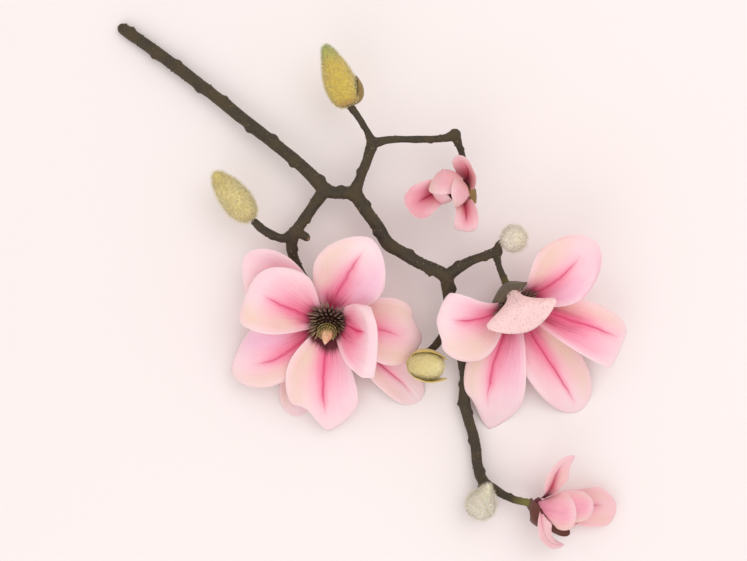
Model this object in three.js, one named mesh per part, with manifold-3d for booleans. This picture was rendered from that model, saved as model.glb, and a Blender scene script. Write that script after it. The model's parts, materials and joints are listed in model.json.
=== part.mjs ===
// A cut saucer magnolia branch lying on a table, in millimetres, +Z up, Z = 0 on the table.
// Places are measured from the middle of the spray and the whole group is then moved by ORIGIN,
// so that the origin lies on the table under the middle of the branch's box.
import * as THREE from 'three';
import { mergeVertices } from 'three/addons/utils/BufferGeometryUtils.js';
import Module from 'manifold-3d';

const wasm = await Module();
wasm.setup();

const ORIGIN = [-3.26, -3.09, 0];
const GAP = 0.35;                 // left between pieces that touch
const BLADE = 0.8;                // thickness of a tepal
const SCALE = 1;                  // thickness of a bud scale
const LARGE = { rows: 6, columns: 8 };   // steps along and across a large blade
const SMALL = { rows: 5, columns: 6 };   // a small one
const STIFF = { rows: 4, columns: 4 };   // and a bud scale
const ACROSS = [0, 1, 0.3];       // gives the first direction round a bloom's middle
const RIM = 0.9995;               // the outermost place across a blade
const TIP_FROM = 0.84;            // where the last part of a blade begins to curl and fold
const ROOT = -0.07;               // how far a blade's root runs on into what carries it
const NEAR = 0.01;                // a small step along or across a blade, to find its slope
const TWIG_SIDES = 6;
const TWIG_STEP = 14;             // distance between the rings of a twig
const KNOB_STEP = 19;             // distance between the leaf scars along a twig
const GROWN = { root: 0.05, tip: 0.017 };   // how much further a grown blade reaches, for each mm
const SEED = 7;
const FINEST = 0.03;              // slivers smaller than this are tidied away
const SAME = 1e-4;                // corners nearer than this are one corner

const COLOURS = {
  bark: 0x4a3f2b,
  petal: 0xf7b9c8,
  stamen: 0x4a1f22,
  pistil: 0xb09a52,
  scale: 0x6b5a44,
  yellow: 0xd3b957,
  cream: 0xe6dcc0,
};

// The woody pieces: each twig is a row of [x, y, z, radius] from its root to its end.
const TWIGS = {
  stem: [[-177.5, 177.5, 3.3, 3.9], [-155.5, 162, 5.5, 4.1], [-120.5, 136, 9, 4.1], [-85.5, 108, 13, 4.1],
    [-50.5, 79.5, 18, 4.2], [-33, 62, 21, 4.8]],
  firstFork: [[-33, 62, 21, 4.8], [-27, 60, 22, 4.2], [-19.5, 60, 23, 4.2], [-12.5, 60, 23, 4.8]],
  middle: [[-12.5, 60, 23, 4.8], [-6, 49, 24, 4.2], [3, 36.5, 25, 4.2], [10, 25, 25, 4.5], [18, 20, 25, 4.1],
    [31.5, 12, 25, 4.1], [42.5, 7, 25, 4.2], [50, 3, 25, 4.9]],
  lowerStem: [[50, 3, 25, 4.9], [51.5, -8, 22, 4.1], [54.5, -28.5, 18, 3.8], [60.5, -49.5, 14, 3.6],
    [63.5, -69, 10, 3.6], [63, -84.5, 8, 3.8], [66.5, -98.5, 7, 3.5], [70.5, -112.5, 7, 3.5],
    [72, -126, 7, 3.4],
    [74.5, -136.5, 8, 3.6], [78.5, -142, 9, 3.7]],
  lowerBloomTwig: [[78.5, -142, 9, 3.6], [85.5, -145.5, 11, 3], [93, -149.5, 14, 2.6], [102, -152, 17.5, 2.4],
    [109, -153, 18.5, 2.9]],
  lowerBudTwig: [[76.5, -141, 9, 3.2], [72.5, -148.5, 7.5, 2.3], [68, -157, 8, 2.2], [66.5, -161.5, 12, 2.4]],
  leftTwig: [[-34.5, 60.5, 21, 4.6], [-41.5, 50.5, 21, 3.8], [-49, 40, 21, 3.5], [-54, 32.5, 21, 4.3]],
  leftBudTwig: [[-54, 32.5, 21, 4], [-62, 29, 22, 2.9], [-70.5, 32, 24, 3], [-76, 35, 25, 2.8],
    [-82.5, 41.5, 27, 2.5]],
  cutStub: [[-53, 32.5, 22, 3.2], [-48, 31, 24, 3], [-44, 28, 27, 2.7]],
  leftBloomTwig: [[-54.5, 32, 21, 3.9], [-56.5, 23, 18, 3.6], [-53.5, 11.5, 12, 3.1], [-45, -3, 8, 2.8],
    [-35.5, -16, 7, 3.2], [-32, -22, 8.5, 4]],
  upperTwig: [[-13.5, 59, 23, 4.6], [-9, 70, 25, 3.3], [-4.5, 81.5, 28, 3.1], [-0.5, 93.5, 31, 4]],
  upperBudTwig: [[-0.5, 92.5, 31, 3.4], [-5, 102.5, 33, 2.1], [-10.5, 111, 35, 2.2], [-17.5, 120, 37, 2.5]],
  levelTwig: [[-1, 92.5, 31, 3.2], [8, 95, 32, 2.3], [18, 95.5, 33, 2.1], [37, 95.5, 34, 2.2],
    [49.5, 96.5, 35, 2.7], [55, 98.5, 35, 3.8]],
  topBloomTwig: [[55, 98.5, 35, 3.8], [58, 91, 33, 2.3], [61, 83.5, 26, 2.2], [62.5, 74.5, 19, 2.2],
    [60.5, 67, 17.5, 2.8]],
  rightTwig: [[49.5, 2.5, 25, 4.6], [57, 8, 26, 3.9], [65.5, 13, 28, 3.1], [75, 16.5, 30, 2.8],
    [83.5, 19.5, 32, 3.7]],
  rightBudTwig: [[83.5, 18.5, 32, 3.2], [85, 24.5, 34, 2.4], [88.5, 27.5, 37, 2.3]],
  rightBloomTwig: [[83, 19.5, 32, 3], [85, 10.5, 30, 2], [87.5, 4.5, 27, 2.1], [90.5, -1.5, 22, 2.4],
    [93.5, -7, 17, 3.2]],
  middleBudTwig: [[53, -24.5, 18, 3.2], [49.5, -34, 18, 2.6], [44, -43, 16, 2.6], [36, -51, 15, 2.6],
    [28, -56.5, 19.5, 2.5]],
};
// Short thorn like spurs: [x, y, z] of the root and of the point, and the root's radius.
const SPURS = [
  { from: [38, 8, 25], to: [38.5, 2.5, 24.5], radius: 1.6 },
  { from: [74.5, -138, 8], to: [74.5, -145.5, 7], radius: 1.7 },
  { from: [60.5, -84, 8], to: [58.2, -86.5, 8.5], radius: 1.8 },
];

// A tepal is a blade along a cubic spine through four stations. face gives where its inner side
// looks at the claw and at the tip, width its half widths, peak where each side is widest,
// tip how blunt it ends, cup its curl in degrees at the claw and at the tip, roll the extra
// curl of each rim, and claw the half width of its root.
const BLADE_PLAIN = {
  claw: 5, peak: [0.62, 0.62], tip: [2, 2], cup: [40, 25], roll: [0, 0], waist: 1, full: 0.92, notches: [],
  curl: 0, fold: 0,
};
const LEFT_TEPALS = [
  { spine: [[-37, -22, 9], [-58, -8, 20], [-75.5, 1.5, 27], [-90, 5, 27]],
    face: [[0.3, -0.5, 1], [0.2, -0.2, 1]], width: [18, 22], peak: [0.75, 0.6], tip: [2.2, 2.2],
    cup: [45, 20] },
  { spine: [[-33, -31.5, 8], [-45, -51.5, 8], [-52, -73.5, 5], [-53.5, -95.5, -0.5]],
    face: [[0.1, 0.3, 1], [0, 0, 1]], width: [13, 13], peak: [0.7, 0.7], cup: [30, 10] },
  { spine: [[-26, -30, 9], [-7.5, -47.5, 11], [14, -66, 8], [32.5, -85, -0.5]],
    face: [[-0.2, 0.3, 1], [0, 0, 1]], width: [13, 13], peak: [0.72, 0.72], cup: [40, 20] },
  { spine: [[-23, -28.5, 13], [-5, -32, 21], [14.5, -36.5, 22], [34, -41, 13.5]],
    face: [[-0.4, 0, 1], [0, 0, 1]], width: [24, 22], peak: [0.62, 0.7], tip: [1.6, 1.6], cup: [35, 15],
    notches: [[0, 0.55, 0.2, 0.07]] },
  { spine: [[-31.5, -33, 15], [-33.5, -54.5, 23], [-34.5, -79.5, 20], [-29.5, -104.5, 8]],
    face: [[0, 0.5, 1], [0, 0.1, 1]], claw: 7, width: [24, 26], peak: [0.72, 0.56], waist: 1.4,
    cup: [40, 10], roll: [0, 40], notches: [[1, 0.5, 0.42, 0.18]] },
  { spine: [[-38.5, -33, 13], [-56, -47, 21], [-75, -56.5, 21], [-97.5, -55.5, 14]],
    face: [[0.4, 0.3, 1], [0.1, 0, 1]], width: [17, 25], peak: [0.6, 0.72], tip: [2.4, 2.4], cup: [40, 12],
    roll: [-45, 0] },
  { spine: [[-38, -26, 17], [-54, -20.5, 33], [-71, -14, 43], [-89, -11, 42]],
    face: [[0.6, -0.3, 1], [0.1, -0.1, 1]], claw: 7, width: [22, 28], peak: [0.74, 0.5], tip: [2.1, 2],
    waist: 1.3, cup: [45, 20] },
  { spine: [[-28.5, -17.5, 18], [-20.5, -1.5, 33], [-11.5, 12.5, 46], [-1.5, 28, 52]],
    face: [[-0.3, -0.6, 1], [-0.1, -0.2, 1]], claw: 8, width: [24, 26], peak: [0.5, 0.52], tip: [1.6, 1.6],
    cup: [40, 15] },
  { spine: [[-25, -28, 16], [-15.5, -31.5, 31], [-7.5, -34.5, 45], [-1, -37.5, 56]],
    face: [[-0.8, 0.1, 0.6], [-0.87, -0.18, 0.41]], width: [18, 30], peak: [0.55, 0.93], tip: [2.8, 2.8],
    cup: [45, 12], roll: [-30, 0], curl: -4.5 },
];
const RIGHT_TEPALS = [
  { spine: [[92, -16, 22], [76, -24.5, 33], [59.5, -27, 41], [42.5, -24.5, 43]],
    face: [[0.6, -0.2, 1], [0.1, 0, 1]], width: [28, 18], peak: [0.56, 0.86], tip: [2, 2.2], waist: 1.7,
    cup: [40, 10], notches: [[0, 0.5, 0.16, 0.05]] },
  { spine: [[95, -21.5, 15], [86.5, -44, 21], [79, -73, 15], [80.5, -105, -0.6]],
    face: [[0, 0.5, 1], [0, 0, 1]], width: [25, 18.5], peak: [0.72, 0.52], cup: [35, 10],
    notches: [[1, 0.55, 0.42, 0.18]] },
  { spine: [[101, -20.5, 13], [113.5, -44.5, 19], [129.5, -68.5, 13], [144.5, -92, -0.6]],
    face: [[-0.2, 0.4, 1], [0, 0, 1]], width: [21, 19], peak: [0.58, 0.5], cup: [35, 12] },
  { spine: [[103.5, -16, 18], [126, -22.5, 31], [149, -31, 33], [170.5, -44, 26]],
    face: [[-0.5, 0.3, 1], [0.1, 0, 1]], width: [15.5, 25], peak: [0.55, 0.84], tip: [2.4, 2.2],
    cup: [40, 15] },
  { spine: [[103.5, -11.5, 22], [117, -3.5, 38], [131, 9.5, 49], [148, 25.5, 53]],
    face: [[-0.3, -0.5, 1], [0.1, 0.1, 1]], claw: 7, width: [21, 19], peak: [0.72, 0.6], tip: [2.5, 2.1],
    waist: 0.8, cup: [50, 20], curl: 4, fold: 4 },
  { spine: [[95, -5, 23], [94, -9.5, 42], [96.5, -18, 56], [103, -33, 50]],
    face: [[0.3, -0.92, 0.1], [0.1, -0.1, -1]], width: [25, 25], peak: [0.8, 0.8], waist: 10, full: 1,
    tip: [1.7, 1.7], cup: [50, 22] },
];
const TOP_TEPALS = [
  { spine: [[54.5, 64, 24], [41, 61, 37], [29, 55.5, 41], [18, 49, 39]], face: [[0.5, 0.1, 1], [0.1, 0, 1]],
    width: [13, 10], peak: [0.68, 0.68], tip: [2.2, 2.2], cup: [50, 15], claw: 2.5, curl: 4, fold: 3 },
  { spine: [[59, 59, 22], [61.5, 49.5, 36], [62.5, 41, 42], [63, 32.5, 41]],
    face: [[-0.2, 0.5, 1], [0, 0.1, 1]], width: [9, 8], peak: [0.85, 0.72], tip: [2.6, 2.2], cup: [60, 15],
    roll: [70, 0], claw: 2.5 },
  { spine: [[61.5, 66, 22], [64, 70.5, 36], [61.5, 76.5, 48], [54, 81, 56]],
    face: [[-0.8, -0.5, 0.6], [-0.5, -0.6, 0.5]], width: [10, 13], peak: [0.6, 0.6], tip: [2.2, 2.2],
    cup: [60, 40], roll: [20, 60], claw: 2.5 },
  { spine: [[58, 60.5, 22], [49.5, 53.5, 33], [46.2, 52.5, 46], [48.5, 57.5, 54]],
    face: [[0.3, 1, 0], [0.2, 0.6, -0.9]], width: [13, 13], peak: [0.55, 0.55], tip: [1.8, 1.8],
    cup: [80, 80], claw: 3 },
  { spine: [[58, 64, 22], [48.5, 73.5, 33], [46, 72.5, 47], [46.5, 57.5, 56]],
    face: [[0.4, -0.9, 0], [0.1, -0.3, -1]], width: [13.5, 17], peak: [0.85, 0.62], tip: [2.2, 2.4],
    cup: [85, 70], claw: 3 },
  { spine: [[60.5, 62, 22], [64, 58.2, 33], [61, 57.5, 48], [50.5, 57.5, 60]],
    face: [[-1, 0.3, 0], [-0.7, 0, -0.8]], width: [16, 16], peak: [0.5, 0.5], tip: [2, 1.8], cup: [80, 75],
    claw: 3 },
];
const LOWER_TEPALS = [
  { spine: [[114, -155, 13], [131, -156.5, 6], [151, -156.5, 6], [167.5, -154.5, 11]],
    face: [[0, 0, 1], [0.1, 0, 1]], width: [13, 15], peak: [0.75, 0.8], tip: [1.6, 1.6], cup: [60, 15],
    claw: 2.5 },
  { spine: [[112.5, -155, 21], [111.5, -161, 30], [116, -176, 25], [132, -185, 10]],
    face: [[0.5, 0.4, 1], [0.3, 0.5, 1]], width: [8, 6.5], peak: [0.55, 0.55], tip: [1.5, 1.5],
    cup: [45, 30], claw: 1.5, waist: 1.6 },
  { spine: [[112.5, -156, 16], [122, -157, 11], [135, -157.5, 11], [147, -156.5, 18]],
    face: [[0.2, 0, 1], [-0.3, 0, 1]], width: [15.5, 15.5], peak: [0.6, 0.6], cup: [75, 60], claw: 3 },
  { spine: [[112.5, -153.5, 20], [121, -153.5, 30], [134, -153.5, 33.5], [149, -155.5, 27]],
    face: [[0.2, 0, -1], [-0.4, 0, -0.9]], width: [15, 15], peak: [0.75, 0.75], tip: [2.6, 2.6],
    cup: [80, 75], claw: 3 },
  { spine: [[112, -153.5, 22], [118, -155, 34], [127, -156.5, 37.5], [136.5, -157, 35]],
    face: [[0.2, 0.1, -1], [-0.2, 0, -1]], width: [18, 18], peak: [0.8, 0.8], tip: [2.6, 2.6],
    cup: [80, 75], claw: 3 },
  { spine: [[117, -147, 24], [121.5, -137, 33], [124.5, -126.5, 42], [134, -117.5, 50]],
    face: [[0.5, -0.3, 0.8], [0.4, -0.3, 0.8]], width: [10.5, 11.5], peak: [0.48, 0.48], tip: [1.5, 1.5],
    cup: [40, 30], claw: 2 },
];

// A bloom's receptacle: its middle, the way the bloom looks, its radius, and its reach along that way.
const LEFT_HUB = { at: [-30.5, -26, 13], way: [-0.08, -0.6, 0.8], radius: 8.5, below: 7, above: 4 };
const RIGHT_HUB = { at: [97, -15.5, 20], way: [0.28, -0.6, 0.75], radius: 8.5, below: 7, above: 4 };
const TOP_HUB = { at: [59, 62, 22], way: [-0.3, -0.1, 0.95], radius: 4.6, below: 3.5, above: 2 };
const LOWER_HUB = { at: [113, -153.5, 19], way: [1, -0.1, 0.1], radius: 4.8, below: 3.5, above: 2 };

// Bud scales are blades too, thicker and without a fine tip.
const RIGHT_SCALES = [
  { spine: [[92, -1.5, 18], [90.5, -2, 25], [91.5, -5, 31], [95, -11, 33]],
    face: [[0.5, -0.8, -0.3], [0.4, -0.5, -0.8]], width: [21, 14], peak: [0.95, 0.8], tip: [1.9, 1.9],
    cup: [60, 40], claw: 4 },
];
const TOP_SCALES = [
  { spine: [[62, 65, 17], [67.5, 64.5, 22], [69, 62, 29], [68, 60, 36]],
    face: [[-1, -0.2, 0.3], [-1, 0, 0.1]], width: [8, 7], peak: [0.7, 0.7], tip: [1.8, 1.8], cup: [55, 40],
    claw: 3 },
];
const LOWER_SCALES = [
  { spine: [[107.5, -153.5, 17], [106.8, -157, 24], [109, -163, 26.5], [113, -169, 24]],
    face: [[1, 0.3, -0.5], [0.6, 0.8, -0.6]], width: [7, 6.5], peak: [0.6, 0.6], tip: [2, 2], cup: [60, 50],
    claw: 4 },
  { spine: [[107.5, -153.5, 17], [116.5, -163.5, 10.5], [126.5, -170.5, 8.5], [136, -176, 9.5]],
    face: [[0, 0.2, -1], [0, 0.1, -1]], width: [5, 4.5], peak: [0.7, 0.7], tip: [2, 2], cup: [40, 20],
    claw: 3 },
];

// Buds: base, tip, and their outline as [share of the length, radius].
const BUDS = {
  bud_a: { base: [-16.6, 118.3, 37], tip: [-32.4, 157.5, 43], colour: 'yellow',
    outline: [[0, 0], [0.01, 4.6], [0.05, 7], [0.13, 8.8], [0.28, 10], [0.44, 9.7], [0.6, 8.2], [0.75, 6.2],
      [0.87, 4.4], [0.95, 2.9], [1, 0]] },
  bud_b: { base: [-83, 42, 27.2], tip: [-107.5, 72.5, 34], colour: 'cream',
    outline: [[0, 0], [0.01, 3], [0.1, 6.6], [0.28, 8.9], [0.5, 9], [0.72, 7.2], [0.9, 4.2], [0.98, 2],
      [1, 0]] },
  bud_c: { base: [88.6, 27.7, 37], tip: [100, 28.7, 49], colour: 'cream',
    outline: [[0, 0], [0.02, 3], [0.14, 6.2], [0.35, 8.3], [0.58, 8.2], [0.8, 6], [0.93, 3.2], [1, 0]] },
  bud_d: { base: [26, -57, 21.5], tip: [46, -58, 40], colour: 'yellow',
    outline: [[0, 0], [0.02, 3.6], [0.12, 7.2], [0.33, 9.3], [0.58, 9.2], [0.8, 7.2], [0.93, 4], [1, 0]] },
  bud_e: { base: [71.5, -161.5, 14], tip: [78.5, -138.5, 30], colour: 'cream',
    outline: [[0, 0], [0.02, 3.4], [0.12, 7.6], [0.32, 9.8], [0.5, 9], [0.7, 5.8], [0.86, 2.9], [0.96, 1.4],
      [1, 0]] },
};

let state = SEED;
// A repeatable draw from 0 to 1.
function draw() {
  state = (state * 1664525 + 1013904223) % 4294967296;
  return state / 4294967296;
}

const add = (a, b, k = 1) => a.map((value, i) => value + k * b[i]);
const unit = (a) => a.map((value) => value / Math.hypot(...a));
const dot = (a, b) => a[0] * b[0] + a[1] * b[1] + a[2] * b[2];
const cross = (a, b) => [a[1] * b[2] - a[2] * b[1], a[2] * b[0] - a[0] * b[2], a[0] * b[1] - a[1] * b[0]];
const mix = (a, b, share) => a.map((value, i) => value + (b[i] - value) * share);
const radians = (degrees) => degrees * Math.PI / 180;

// The cubic through four stations at 0, 1/3, 2/3 and 1.
function cubic(stations, u) {
  const weights = [
    -4.5 * (u - 1 / 3) * (u - 2 / 3) * (u - 1),
    13.5 * u * (u - 2 / 3) * (u - 1),
    -13.5 * u * (u - 1 / 3) * (u - 1),
    4.5 * u * (u - 1 / 3) * (u - 2 / 3),
  ];
  return [0, 1, 2].map((axis) => weights.reduce((sum, weight, i) => sum + weight * stations[i][axis], 0));
}

// How much the end of a blade draws in at a place across it.
// Each notch holds its side, its place across, its spread and its depth.
function notch(row, right, side) {
  let depth = 0;
  for (const [which, centre, spread, most] of row.notches) {
    const inner = 0.5 - 0.5 * Math.cos(Math.PI * Math.min(side / centre, 1));
    const outer = Math.exp(-((Math.max(side - centre, 0) / spread) ** 2));
    if (which === right) depth += most * inner * outer;
  }
  return depth;
}

// A point on the middle sheet of a blade: s runs from claw to tip, v from one rim to the other.
function bladePoint(row, s, v) {
  const side = Math.abs(v);
  const right = v > 0 ? 1 : 0;
  const peak = row.peak[right];
  const blunt = row.tip[right];
  const end = peak + (1 - peak) * (1 - side ** blunt) ** (1 / Math.max(1.2, blunt)) - notch(row, right, side);
  const u = s * end;
  const fill = Math.sin(Math.PI / 2 * Math.min(1, Math.max(0, s / row.full))) ** row.waist;
  const half = row.claw + (row.width[right] - row.claw) * fill;
  const here = cubic(row.spine, u);
  const along = unit(add(cubic(row.spine, u + NEAR), here, -1));
  const look = mix(row.face[0], row.face[1], u);
  const inward = unit(add(look, along, -dot(look, along)));
  const sideways = cross(along, inward);
  const cup = radians(row.cup[0] + (row.cup[1] - row.cup[0]) * s);
  const roll = radians(row.roll[right]) * s;
  const steps = 10;
  let across = 0;
  let lift = 0;
  for (let i = 0; i < steps; i += 1) {
    const q = side * (i + 0.5) / steps;
    const rim = Math.max(0, (q - 0.55) / 0.45);
    const heading = cup * q + roll * rim * rim;
    across += Math.cos(heading) * side / steps;
    lift += Math.sin(heading) * side / steps;
  }
  const sign = right ? 1 : -1;
  const last = Math.max(0, (s - TIP_FROM) / (1 - TIP_FROM)) ** 2;
  const point = add(add(here, sideways, across * half * sign), inward, lift * half + row.curl * last);
  return add(point, along, -row.fold * last);
}

// Faces listed as rows of corner numbers become an indexed geometry, four cornered ones split alike.
function indexed(positions, faces) {
  const geometry = new THREE.BufferGeometry();
  geometry.setAttribute('position', new THREE.Float32BufferAttribute(positions.flat(), 3));
  geometry.setIndex(faces.flatMap((f) => (f.length === 4 ? [f[0], f[1], f[2], f[0], f[2], f[3]] : f)));
  return geometry;
}

// A closed geometry as a solid that can be joined and cut.
function solid(geometry) {
  const plain = geometry.clone();
  plain.deleteAttribute('normal');
  plain.deleteAttribute('uv');
  const merged = mergeVertices(plain, SAME);
  const corners = [];
  for (let i = 0; i < merged.index.count; i += 3) {
    const [a, b, c] = [0, 1, 2].map((k) => merged.index.getX(i + k));
    if (a !== b && b !== c && c !== a) corners.push(a, b, c);
  }
  const mesh = new wasm.Mesh({
    numProp: 3,
    vertProperties: new Float32Array(merged.attributes.position.array),
    triVerts: new Uint32Array(corners),
  });
  return new wasm.Manifold(mesh);
}

// A blade as a closed sheet with the same triangles on both faces; grow makes it larger all round.
function blade(given, { rows, columns }, thickness = BLADE, grow = 0) {
  const row = { ...BLADE_PLAIN, ...given };
  row.width = row.width.map((value) => value + grow);
  row.claw += grow;
  const faces = [];
  const sheets = [[], []];
  const start = ROOT - grow * GROWN.root;
  const reach = 1 + grow * GROWN.tip;
  for (let i = 0; i <= rows; i += 1) {
    for (let j = 0; j <= columns; j += 1) {
      const s = start + (reach - start) * i / rows;
      const v = RIM * Math.sin(Math.PI * (j / columns - 0.5));
      const here = bladePoint(row, s, v);
      const alongS = add(bladePoint(row, s + NEAR, v), here, -1);
      const outer = bladePoint(row, s, Math.min(RIM, v + NEAR));
      const inner = bladePoint(row, s, Math.max(-RIM, v - NEAR));
      const alongV = add(outer, inner, -1);
      const normal = unit(cross(alongV, alongS));
      sheets[0].push(add(here, normal, thickness / 2 + grow));
      sheets[1].push(add(here, normal, -thickness / 2 - grow));
    }
  }
  const top = (i, j) => i * (columns + 1) + j;
  const under = (i, j) => sheets[0].length + top(i, j);
  for (let i = 0; i < rows; i += 1) {
    for (let j = 0; j < columns; j += 1) {
      faces.push([top(i, j), top(i, j + 1), top(i + 1, j + 1), top(i + 1, j)]);
      faces.push([under(i, j), under(i + 1, j), under(i + 1, j + 1)]);
      faces.push([under(i, j), under(i + 1, j + 1), under(i, j + 1)]);
    }
    faces.push([top(i, 0), top(i + 1, 0), under(i + 1, 0), under(i, 0)]);
    faces.push([top(i + 1, columns), top(i, columns), under(i, columns), under(i + 1, columns)]);
  }
  for (let j = 0; j < columns; j += 1) {
    faces.push([top(0, j + 1), top(0, j), under(0, j), under(0, j + 1)]);
    faces.push([top(rows, j), top(rows, j + 1), under(rows, j + 1), under(rows, j)]);
  }
  return solid(indexed([...sheets[0], ...sheets[1]], faces));
}

// A tapering round tube with closed ends along [x, y, z, radius] stations.
function tube(stations, grow = 0) {
  const curve = new THREE.CatmullRomCurve3(stations.map(([x, y, z]) => new THREE.Vector3(x, y, z)));
  const steps = Math.max(stations.length, Math.round(curve.getLength() / TWIG_STEP));
  const frames = curve.computeFrenetFrames(steps, false);
  const positions = [];
  const faces = [];
  for (let i = 0; i <= steps; i += 1) {
    const share = i / steps;
    const t = curve.getUtoTmapping(share);
    const place = t * (stations.length - 1);
    const k = Math.min(stations.length - 2, Math.floor(place));
    const radius = stations[k][3] + (stations[k + 1][3] - stations[k][3]) * (place - k) + grow;
    const centre = curve.getPoint(t);
    for (let j = 0; j < TWIG_SIDES; j += 1) {
      const angle = 2 * Math.PI * j / TWIG_SIDES;
      const point = centre.clone()
        .addScaledVector(frames.normals[i], radius * Math.cos(angle))
        .addScaledVector(frames.binormals[i], radius * Math.sin(angle));
      positions.push(point.toArray());
    }
  }
  const last = steps * TWIG_SIDES;
  positions.push(curve.getPoint(0).toArray(), curve.getPoint(1).toArray());
  for (let j = 0; j < TWIG_SIDES; j += 1) {
    const next = (j + 1) % TWIG_SIDES;
    for (let i = 0; i < steps; i += 1) {
      const a = i * TWIG_SIDES;
      faces.push([a + j, a + next, a + TWIG_SIDES + next, a + TWIG_SIDES + j]);
    }
    faces.push([last + TWIG_SIDES, next, j]);
    faces.push([last + TWIG_SIDES + 1, last + j, last + next]);
  }
  return solid(indexed(positions, faces));
}

// A turned body along the way from base: its outline holds [distance along, radius] pairs.
function turned(base, way, outline, sides = 12) {
  const points = outline.map(([height, radius]) => new THREE.Vector2(radius, height));
  const geometry = new THREE.LatheGeometry(points, sides);
  const axis = new THREE.Vector3(...unit(way));
  const turn = new THREE.Quaternion().setFromUnitVectors(new THREE.Vector3(0, 1, 0), axis);
  geometry.applyQuaternion(turn);
  geometry.translate(...base);
  return solid(geometry);
}

function join(parts) {
  return parts.reduce((whole, part) => whole.add(part));
}

// The largest body of a cut solid: loose scraps are dropped and closed pockets are filled.
function mainBody(whole) {
  return whole.decompose().sort((a, b) => b.volume() - a.volume())[0];
}

const TABLE = solid(new THREE.BoxGeometry(2000, 2000, 400).translate(0, 0, 200));

// Small leaf scars stand on alternate sides of a twig, their sizes shares of its radius.
const KNOB = {
  out: 0.6, outline: [[-1.1, 0], [0.3, 0.65], [1, 0]], sides: 5, scatter: 0.3, tilt: 0.8, down: 0.3,
};
function knobs(stations) {
  const curve = new THREE.CatmullRomCurve3(stations.map(([x, y, z]) => new THREE.Vector3(x, y, z)));
  const count = Math.floor(curve.getLength() / KNOB_STEP);
  const made = [];
  for (let i = 0; i < count; i += 1) {
    const share = (i + 0.5 + KNOB.scatter * (draw() - 0.5)) / count;
    const t = curve.getUtoTmapping(share);
    const place = t * (stations.length - 1);
    const k = Math.min(stations.length - 2, Math.floor(place));
    const radius = stations[k][3] + (stations[k + 1][3] - stations[k][3]) * (place - k);
    const tangent = curve.getTangent(t);
    const side = new THREE.Vector3(-tangent.y, tangent.x, 0).normalize();
    if (i % 2) side.negate();
    side.z = KNOB.tilt * (draw() - KNOB.down);
    side.normalize();
    const centre = curve.getPoint(t).addScaledVector(side, KNOB.out * radius);
    const outline = KNOB.outline.map((pair) => pair.map((value) => value * radius));
    made.push(turned(centre.toArray(), tangent.toArray(), outline, KNOB.sides));
  }
  return made;
}

// A short side shoot that narrows to a blunt end.
const SPUR = [[0, 0], [0, 1], [0.6, 0.6], [1, 0.45], [1, 0]];   // shares of its length and radius
function spur({ from, to, radius }) {
  const way = add(to, from, -1);
  const length = Math.hypot(...way);
  return turned(from, way, SPUR.map(([share, width]) => [share * length, width * radius]), TWIG_SIDES);
}

// A receptacle swells from the twig to the ring that carries the tepals.
const HUB = { neck: 0.42, shoulder: 0.86, shoulderAt: -0.4, top: 0.84 };
function hub({ at, way, radius, below, above }, grow = 0) {
  const outline = [[-below - grow, 0], [-below - grow, HUB.neck * radius + grow],
    [HUB.shoulderAt * below, HUB.shoulder * radius + grow], [0, radius + grow],
    [above + grow, HUB.top * radius + grow], [above + grow, 0]];
  return turned(at, way, outline);
}

function bloom(tepals, receptacle, net, grow = 0) {
  return join([hub(receptacle, grow), ...tepals.map((row) => blade(row, net, BLADE, grow))]);
}

function scaleLeaves(rows, grow = 0) {
  return join(rows.map((row) => blade(row, STIFF, SCALE, grow)));
}

// Stamens in spiral rows stand round a low boss, bending up from it.
// Each row roots further in and stands steeper.
const BOSS = [[0, 0], [0, 7.6], [3.5, 6.6], [5.5, 5], [5.5, 0]];
const BOSS_HEIGHT = 5.5;
const STAMENS = {
  rows: 3, each: 8, width: 1.5, thick: 0.8, length: 11, root: 5.4, inward: 0.9, height: 1.1, rise: 1.5,
  lean: 20, steeper: 14, bend: 0.6, turn: 28, shortest: 0.92, spread: 0.16,
};
function stamens({ at, way, above }) {
  const axis = unit(way);
  const start = above + GAP;
  const first = unit(cross(axis, ACROSS));
  const second = cross(axis, first);
  const parts = [turned(at, way, BOSS.map(([height, radius]) => [start + height, radius]))];
  for (let row = 0; row < STAMENS.rows; row += 1) {
    for (let i = 0; i < STAMENS.each; i += 1) {
      const angle = 2 * Math.PI * (i + row / STAMENS.rows) / STAMENS.each;
      const out = add(first.map((value) => value * Math.cos(angle)), second, Math.sin(angle));
      const reach = STAMENS.length * (STAMENS.shortest + STAMENS.spread * draw());
      const height = start + STAMENS.height + STAMENS.rise * row;
      const root = add(add(at, out, STAMENS.root - STAMENS.inward * row), axis, height);
      const lean = radians(STAMENS.lean + STAMENS.steeper * row);
      const bend = leaning(root, out, axis, STAMENS.bend * reach, lean);
      const end = leaning(bend, out, axis, (1 - STAMENS.bend) * reach, lean + radians(STAMENS.turn));
      parts.push(strap([root, bend, end], cross(axis, out), STAMENS.width, STAMENS.thick));
    }
  }
  return join(parts);
}

// A place a distance away from another, leaning outward from an axis.
function leaning(from, out, axis, distance, angle) {
  return add(add(from, out, distance * Math.cos(angle)), axis, distance * Math.sin(angle));
}

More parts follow.
